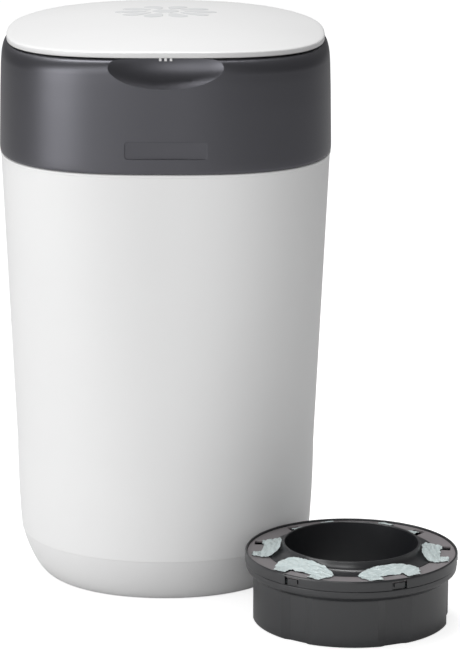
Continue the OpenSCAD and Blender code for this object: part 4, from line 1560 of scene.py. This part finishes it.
@dataclass
class Film:
    """The barrier film that the cassette holds and lets out through its gates.

    Attributes:
        cassette: The cassette that holds it.
        covers: How much of its two legs the film hides at each gate.
        leans: Height over the cap that the film reaches against the tube, at each gate.
        skews: How much further up one end of it leans than the other, at each gate.
        span: Half width of what shows of a sheet along its gate.
        bare_span: The same on a side whose leg it leaves bare.
        heel: Distance from the axis where the film starts over a gate's slot.
        slot_far: Distance from the axis where that slot ends and its legs begin.
        leg_near: Distance of a covered leg's nearer side from the gate's middle.
        leg_far: Distance of its farther side, before what its cover adds.
        leg_end: Distance from the axis where a covered leg ends.
        pleats: Number of pleats round the gathered ring.
        pleat_deep: Half depth of a pleat.
        pleat_lift: Half height of a pleat on top of the ring.
        pack_mid: Radius of the ring's middle.
        pack_top: Height over which the pleats count as its top.
        stations: Points round that ring.
        wide: Half width of one flat sheet along its gate, millimetres.
        near: Smallest distance of a sheet from the cassette's axis.
        far: Largest distance.
        thick: Thickness of the gathered layers.
        cell: Spacing of the points of a sheet.
    """

    cassette: Cassette
    covers: tuple[tuple[float, float], ...] = (
        (1.0, 1.0), (1.0, 0.35), (-1.0, 0.8), (0.8, -1.0), (0.35, 1.0), (1.0, 1.0))
    leans: tuple[float, ...] = (3.8, 4.4, 4.0, 4.0, 4.4, 5.6)
    skews: tuple[float, ...] = (0.2, 0.0, 0.0, 0.0, 0.0, -0.5)
    span: float = 26.0
    bare_span: float = 19.0
    heel: float = 56.6
    slot_far: float = 71.8
    leg_near: float = 10.6
    leg_far: float = 18.6
    leg_end: float = 79.0
    pleats: int = 54
    pleat_deep: float = 0.7
    pleat_lift: float = 0.9
    pack_mid: float = 65.0
    pack_top: float = 45.0
    stations: int = 432
    wide: float = 30.0
    near: float = 55.9
    far: float = 80.5
    thick: float = 0.3
    cell: float = 0.45

    def rough(self, seed: int, along: float, scale: float) -> float:
        """Returns an uneven value from -1 to 1 that changes over a distance."""
        return noise.noise(Vector((along / scale, seed * 7.3, 0.5)))

    def inside(self, gate: int, x: float, y: float) -> bool:
        """Tells whether a sheet covers a point of its gate.

        Args:
            gate: Number of the gate, from 0.
            x: Distance from the cassette's axis.
            y: Distance along the gate from its middle.

        Returns:
            True where it does.
        """
        ragged = 0.9 * self.rough(gate, x + 40, 2.1) + 0.5 * self.rough(gate + 9, y + x, 1.1)
        cover = self.covers[gate][0 if y < 0 else 1]
        # Over the slot the film starts at the tube's heel and bows in at its ends.
        if x < self.slot_far + ragged + 1.2 * self.rough(gate + 3, y, 4.0):
            bow = 7.0 * (abs(y) / self.span) ** 3
            inner = self.heel + 0.8 * self.rough(gate + 5, y, 5.0) + bow
            reach = self.span if cover > 0.5 else self.bare_span
            return x > inner and abs(y) < reach + 1.2 * ragged
        # Past the slot only what lies over its two legs is left.
        reach = self.leg_end + ragged if cover > 0.5 else 71.4 + 5 * cover + ragged
        high = self.leg_far + 6.0 * cover + ragged - 0.35 * (x - self.slot_far)
        return x < reach and self.leg_near + ragged < abs(y) < high

    def height(self, gate: int, x: float, y: float) -> float:
        """Finds the height of a sheet.

        Args:
            gate: Number of the gate, from 0.
            x: Distance from the cassette's axis.
            y: Distance along the gate from its middle.

        Returns:
            The height over that point.
        """
        top = self.cassette.cap_top
        share = max(0.0, min(1.0, (71.5 - x) / 14.5))
        bow = 1 - 0.45 * (y / self.span) ** 2 + self.skews[gate] * y / self.span
        lean = self.leans[gate] * share ** 1.2 * bow
        # Folds run along the gate, so the noise is stretched that way.
        fold = 0.7 * noise.noise(Vector((x / 2.3, y / 8.0, gate * 3.1)))
        fine = 0.3 * noise.noise(Vector((x / 1.1, y / 3.0, gate * 5.7 + 2)))
        crest = 1.1 * abs(noise.noise(Vector(((x + 0.25 * y) / 4.2, y / 12.0, gate * 1.7))))
        return top + 0.7 + lean + fold + fine + crest

    def sheet(self, gate: int) -> Object:
        """Builds the crumpled sheet of one gate.

        Args:
            gate: Number of the gate, from 0.

        Returns:
            The sheet, round the origin.
        """
        deselect()
        bpy.ops.mesh.primitive_grid_add(
            x_subdivisions=round((self.far - self.near) / self.cell),
            y_subdivisions=round(2 * self.wide / self.cell), size=1.0)
        obj = newest(f"film_gate_{gate + 1}")
        bpy.ops.object.mode_set(mode="EDIT")
        bpy.ops.mesh.select_all(action="DESELECT")
        mesh = bmesh.from_edit_mesh(obj.data)
        for vert in mesh.verts:
            x = self.near + (vert.co.x + 0.5) * (self.far - self.near)
            y = 2 * self.wide * vert.co.y
            vert.select_set(not self.inside(gate, x, y))
            vert.co = (x * MM, y * MM, self.height(gate, x, y) * MM)
        mesh.select_flush_mode()
        bpy.ops.mesh.delete(type="VERT")
        bpy.ops.object.mode_set(mode="OBJECT")
        apply_modifier(obj, "SOLIDIFY", thickness=self.thick * MM, offset=0.0)
        obj.rotation_euler.z = math.radians(360 / self.cassette.keys * gate)
        settle(obj)
        return obj

    def gather(self) -> Object:
        """Builds the pleated ring of film packed in the trough.

        Returns:
            The ring, round the origin.
        """
        outline = [(56.4, 4.0), (58.0, 2.4), (65.0, 2.2), (72.0, 2.4), (73.8, 4.0), (74.0, 16.0),
                   (73.8, 30.0), (73.4, 42.0), (72.0, 46.5), (69.0, 48.8), (65.0, 49.4),
                   (61.0, 48.8), (58.0, 46.5), (56.6, 42.0), (56.5, 28.0), (56.4, 14.0)]
        rings = []
        for row, (r, z) in enumerate(outline):
            ring = []
            for i in range(self.stations):
                t = 2 * math.pi * i / self.stations
                phase = self.pleats * t + 1.5 * math.sin(5 * t)
                side = 1 if r > self.pack_mid else -1
                out = r + self.pleat_deep * math.sin(phase + 0.2 * row) * side
                up = z + (self.pleat_lift * math.sin(phase) if z > self.pack_top else 0.0)
                ring.append((out * math.cos(t) * MM, out * math.sin(t) * MM, up * MM))
            rings.append(ring)
        return loft("film_gather", rings, joined=True)

    def build(self) -> None:
        pack = self.gather()
        self.cassette.stand(pack, Slot.FILM, 50.0, "film_pack")
        for gate in range(self.cassette.keys):
            sheet = self.sheet(gate)
            self.cassette.stand(sheet, Slot.FILM, 60.0, *(["film_tufts"] if gate == 0 else []))
            # Square millimetres of the flat sheet that its ragged outline keeps.
            shown = sum(
                self.inside(gate, x, y) for x in range(56, 81) for y in range(-30, 31))


@dataclass
class Studio:
    """Camera, lamps, world and floor.

    Attributes:
        distance: Distance of the camera in front of the bin's middle, metres.
        height: Height of the camera, metres.
        aim_height: Height that the lens is level with along its tilt, metres.
        focal_px: Focal length in pixels of a frame 649 pixels tall.
        frame_tall: Height of the frame in pixels.
        right_px: How far the frame's middle lies right of the bin's middle.
        down_px: How far it lies below that aim.
        glossy_share: Share of the white backdrop that mirrored rays see, since the
            dark mouldings stand in a dimmed room.
        fill: Strength of the world's even light.
        mirrored_fill: Strength of that light where it is mirrored.
        floor_glow: White that the floor adds to its own lit tone.
    """

    distance: float = 3.201
    height: float = 1.01894
    aim_height: float = 0.230
    focal_px: float = 3978.51
    frame_tall: float = 649.0
    right_px: float = 64.3
    down_px: float = 26.66
    glossy_share: float = 0.12
    fill: float = 0.36
    mirrored_fill: float = 0.05
    floor_glow: float = 0.75

    def camera(self) -> None:
        """Adds the camera."""
        data = bpy.data.cameras.new("camera")
        data.sensor_width = 36.0
        data.lens = self.focal_px * data.sensor_width / self.frame_tall
        obj = bpy.data.objects.new("camera", data)
        bpy.context.collection.objects.link(obj)
        tilt = math.atan2(self.height - self.aim_height, self.distance)
        yaw = math.atan2(self.right_px, self.focal_px)
        down = math.atan2(self.down_px, self.focal_px)
        turn = (Matrix.Rotation(math.pi / 2 - tilt, 4, "X") @ Matrix.Rotation(-yaw, 4, "Y")
                @ Matrix.Rotation(-down, 4, "X"))
        obj.matrix_world = Matrix.Translation((0.0, -self.distance, self.height)) @ turn
        bpy.context.scene.camera = obj

    def lamp(
        self, name: str, place: Point, aim: Point, face: tuple[float, float], glow: float
    ) -> None:
        """Adds a soft box.

        Args:
            name: Name of the lamp.
            place: Where it stands, metres.
            aim: The point it faces.
            face: Width and height of its face.
            glow: How bright the face is, 1 being white.
        """
        data = bpy.data.lights.new(name, "AREA")
        data.shape = "RECTANGLE"
        data.size, data.size_y = face
        data.energy = glow * math.pi * face[0] * face[1]
        obj = bpy.data.objects.new(name, data)
        bpy.context.collection.objects.link(obj)
        obj.location = place
        obj.rotation_euler = (Vector(aim) - Vector(place)).to_track_quat("-Z", "Y").to_euler()

    def backdrop_share(self, tree: Tree) -> tuple[bpy.types.Node, Socket]:
        """Works out how much of the white backdrop each kind of ray sees.

        Args:
            tree: The tree that gets the nodes.

        Returns:
            The light path, and 1 for camera and transmission rays, glossy_share for
            glossy rays and 0 for the rest.
        """
        path = add_node(tree, "LightPath")
        shown = add_node(tree, "Math", {
            0: path.outputs["Is Glossy Ray"], 1: self.glossy_share}, operation="MULTIPLY")
        for ray in ("Is Camera Ray", "Is Transmission Ray"):
            shown = add_node(tree, "Math", {
                0: path.outputs[ray], 1: shown.outputs[0]}, operation="MAXIMUM")
        return path, shown.outputs[0]

    def world(self) -> None:
        """Lights softly from all round and shows a white backdrop."""
        world = bpy.data.worlds.new("studio")
        bpy.context.scene.world = world
        world.use_nodes = True
        tree = world.node_tree
        tree.nodes.clear()
        path, shown = self.backdrop_share(tree)
        even = add_node(tree, "Math", {
            0: path.outputs["Is Glossy Ray"], 1: self.mirrored_fill - self.fill, 2: self.fill},
            operation="MULTIPLY_ADD")
        fill = add_node(tree, "Background", {
            "Color": linear("#ffffff"), "Strength": even.outputs[0]})
        white = add_node(tree, "Background", {"Color": linear("#ffffff"), "Strength": 1.0})
        mix = add_node(tree, "MixShader", {
            0: shown, 1: fill.outputs[0], 2: white.outputs[0]})
        add_node(tree, "OutputWorld", {"Surface": mix.outputs[0]})

    def floor(self) -> None:
        """Adds the pale floor, which keeps the shadow and shows white elsewhere."""
        deselect()
        bpy.ops.mesh.primitive_plane_add(size=60.0, location=(0.0, 0.0, -0.0002))
        obj = newest("floor")
        settle(obj)
        material, tree = blank_material("pale_floor")
        _, shown = self.backdrop_share(tree)
        lift = add_node(tree, "Math", {0: shown, 1: self.floor_glow}, operation="MULTIPLY")
        matt = add_node(tree, "BsdfDiffuse", {"Color": linear("#cacaca")})
        glow = add_node(tree, "Emission", {"Color": linear("#ffffff"), "Strength": lift.outputs[0]})
        both = add_node(tree, "AddShader", {0: matt.outputs[0], 1: glow.outputs[0]})
        add_node(tree, "OutputMaterial", {"Surface": both.outputs[0]})
        obj.data.materials.append(material)

    def build(self) -> None:
        """Sets up the whole studio."""
        bpy.context.scene.view_settings.view_transform = "Standard"
        self.camera()
        self.world()
        self.floor()
        self.lamp("side_box", (-1.74, -1.22, 0.75), (0.0, 0.0, 0.35), (1.4, 1.4), 2.95)
        self.lamp("front_box", (-0.6, -2.65, 1.2), (0.0, 0.0, 0.25), (1.6, 1.4), 2.0)
        self.lamp("overhead", (-0.25, 0.4, 2.1), (0.0, 0.0, 0.4), (1.2, 1.2), 7.2)


def main() -> None:
    """Builds the studio and every sub-assembly in order."""
    logging.basicConfig(level=logging.INFO, format="%(message)s")
    finishes = Finishes()
    Studio().build()
    for part in (Tub(finishes), Head(finishes), Lid(finishes), Cassette(finishes)):
        part.build()
        log.info("built %s", type(part).__name__)


if __name__ == "__main__":
    main()
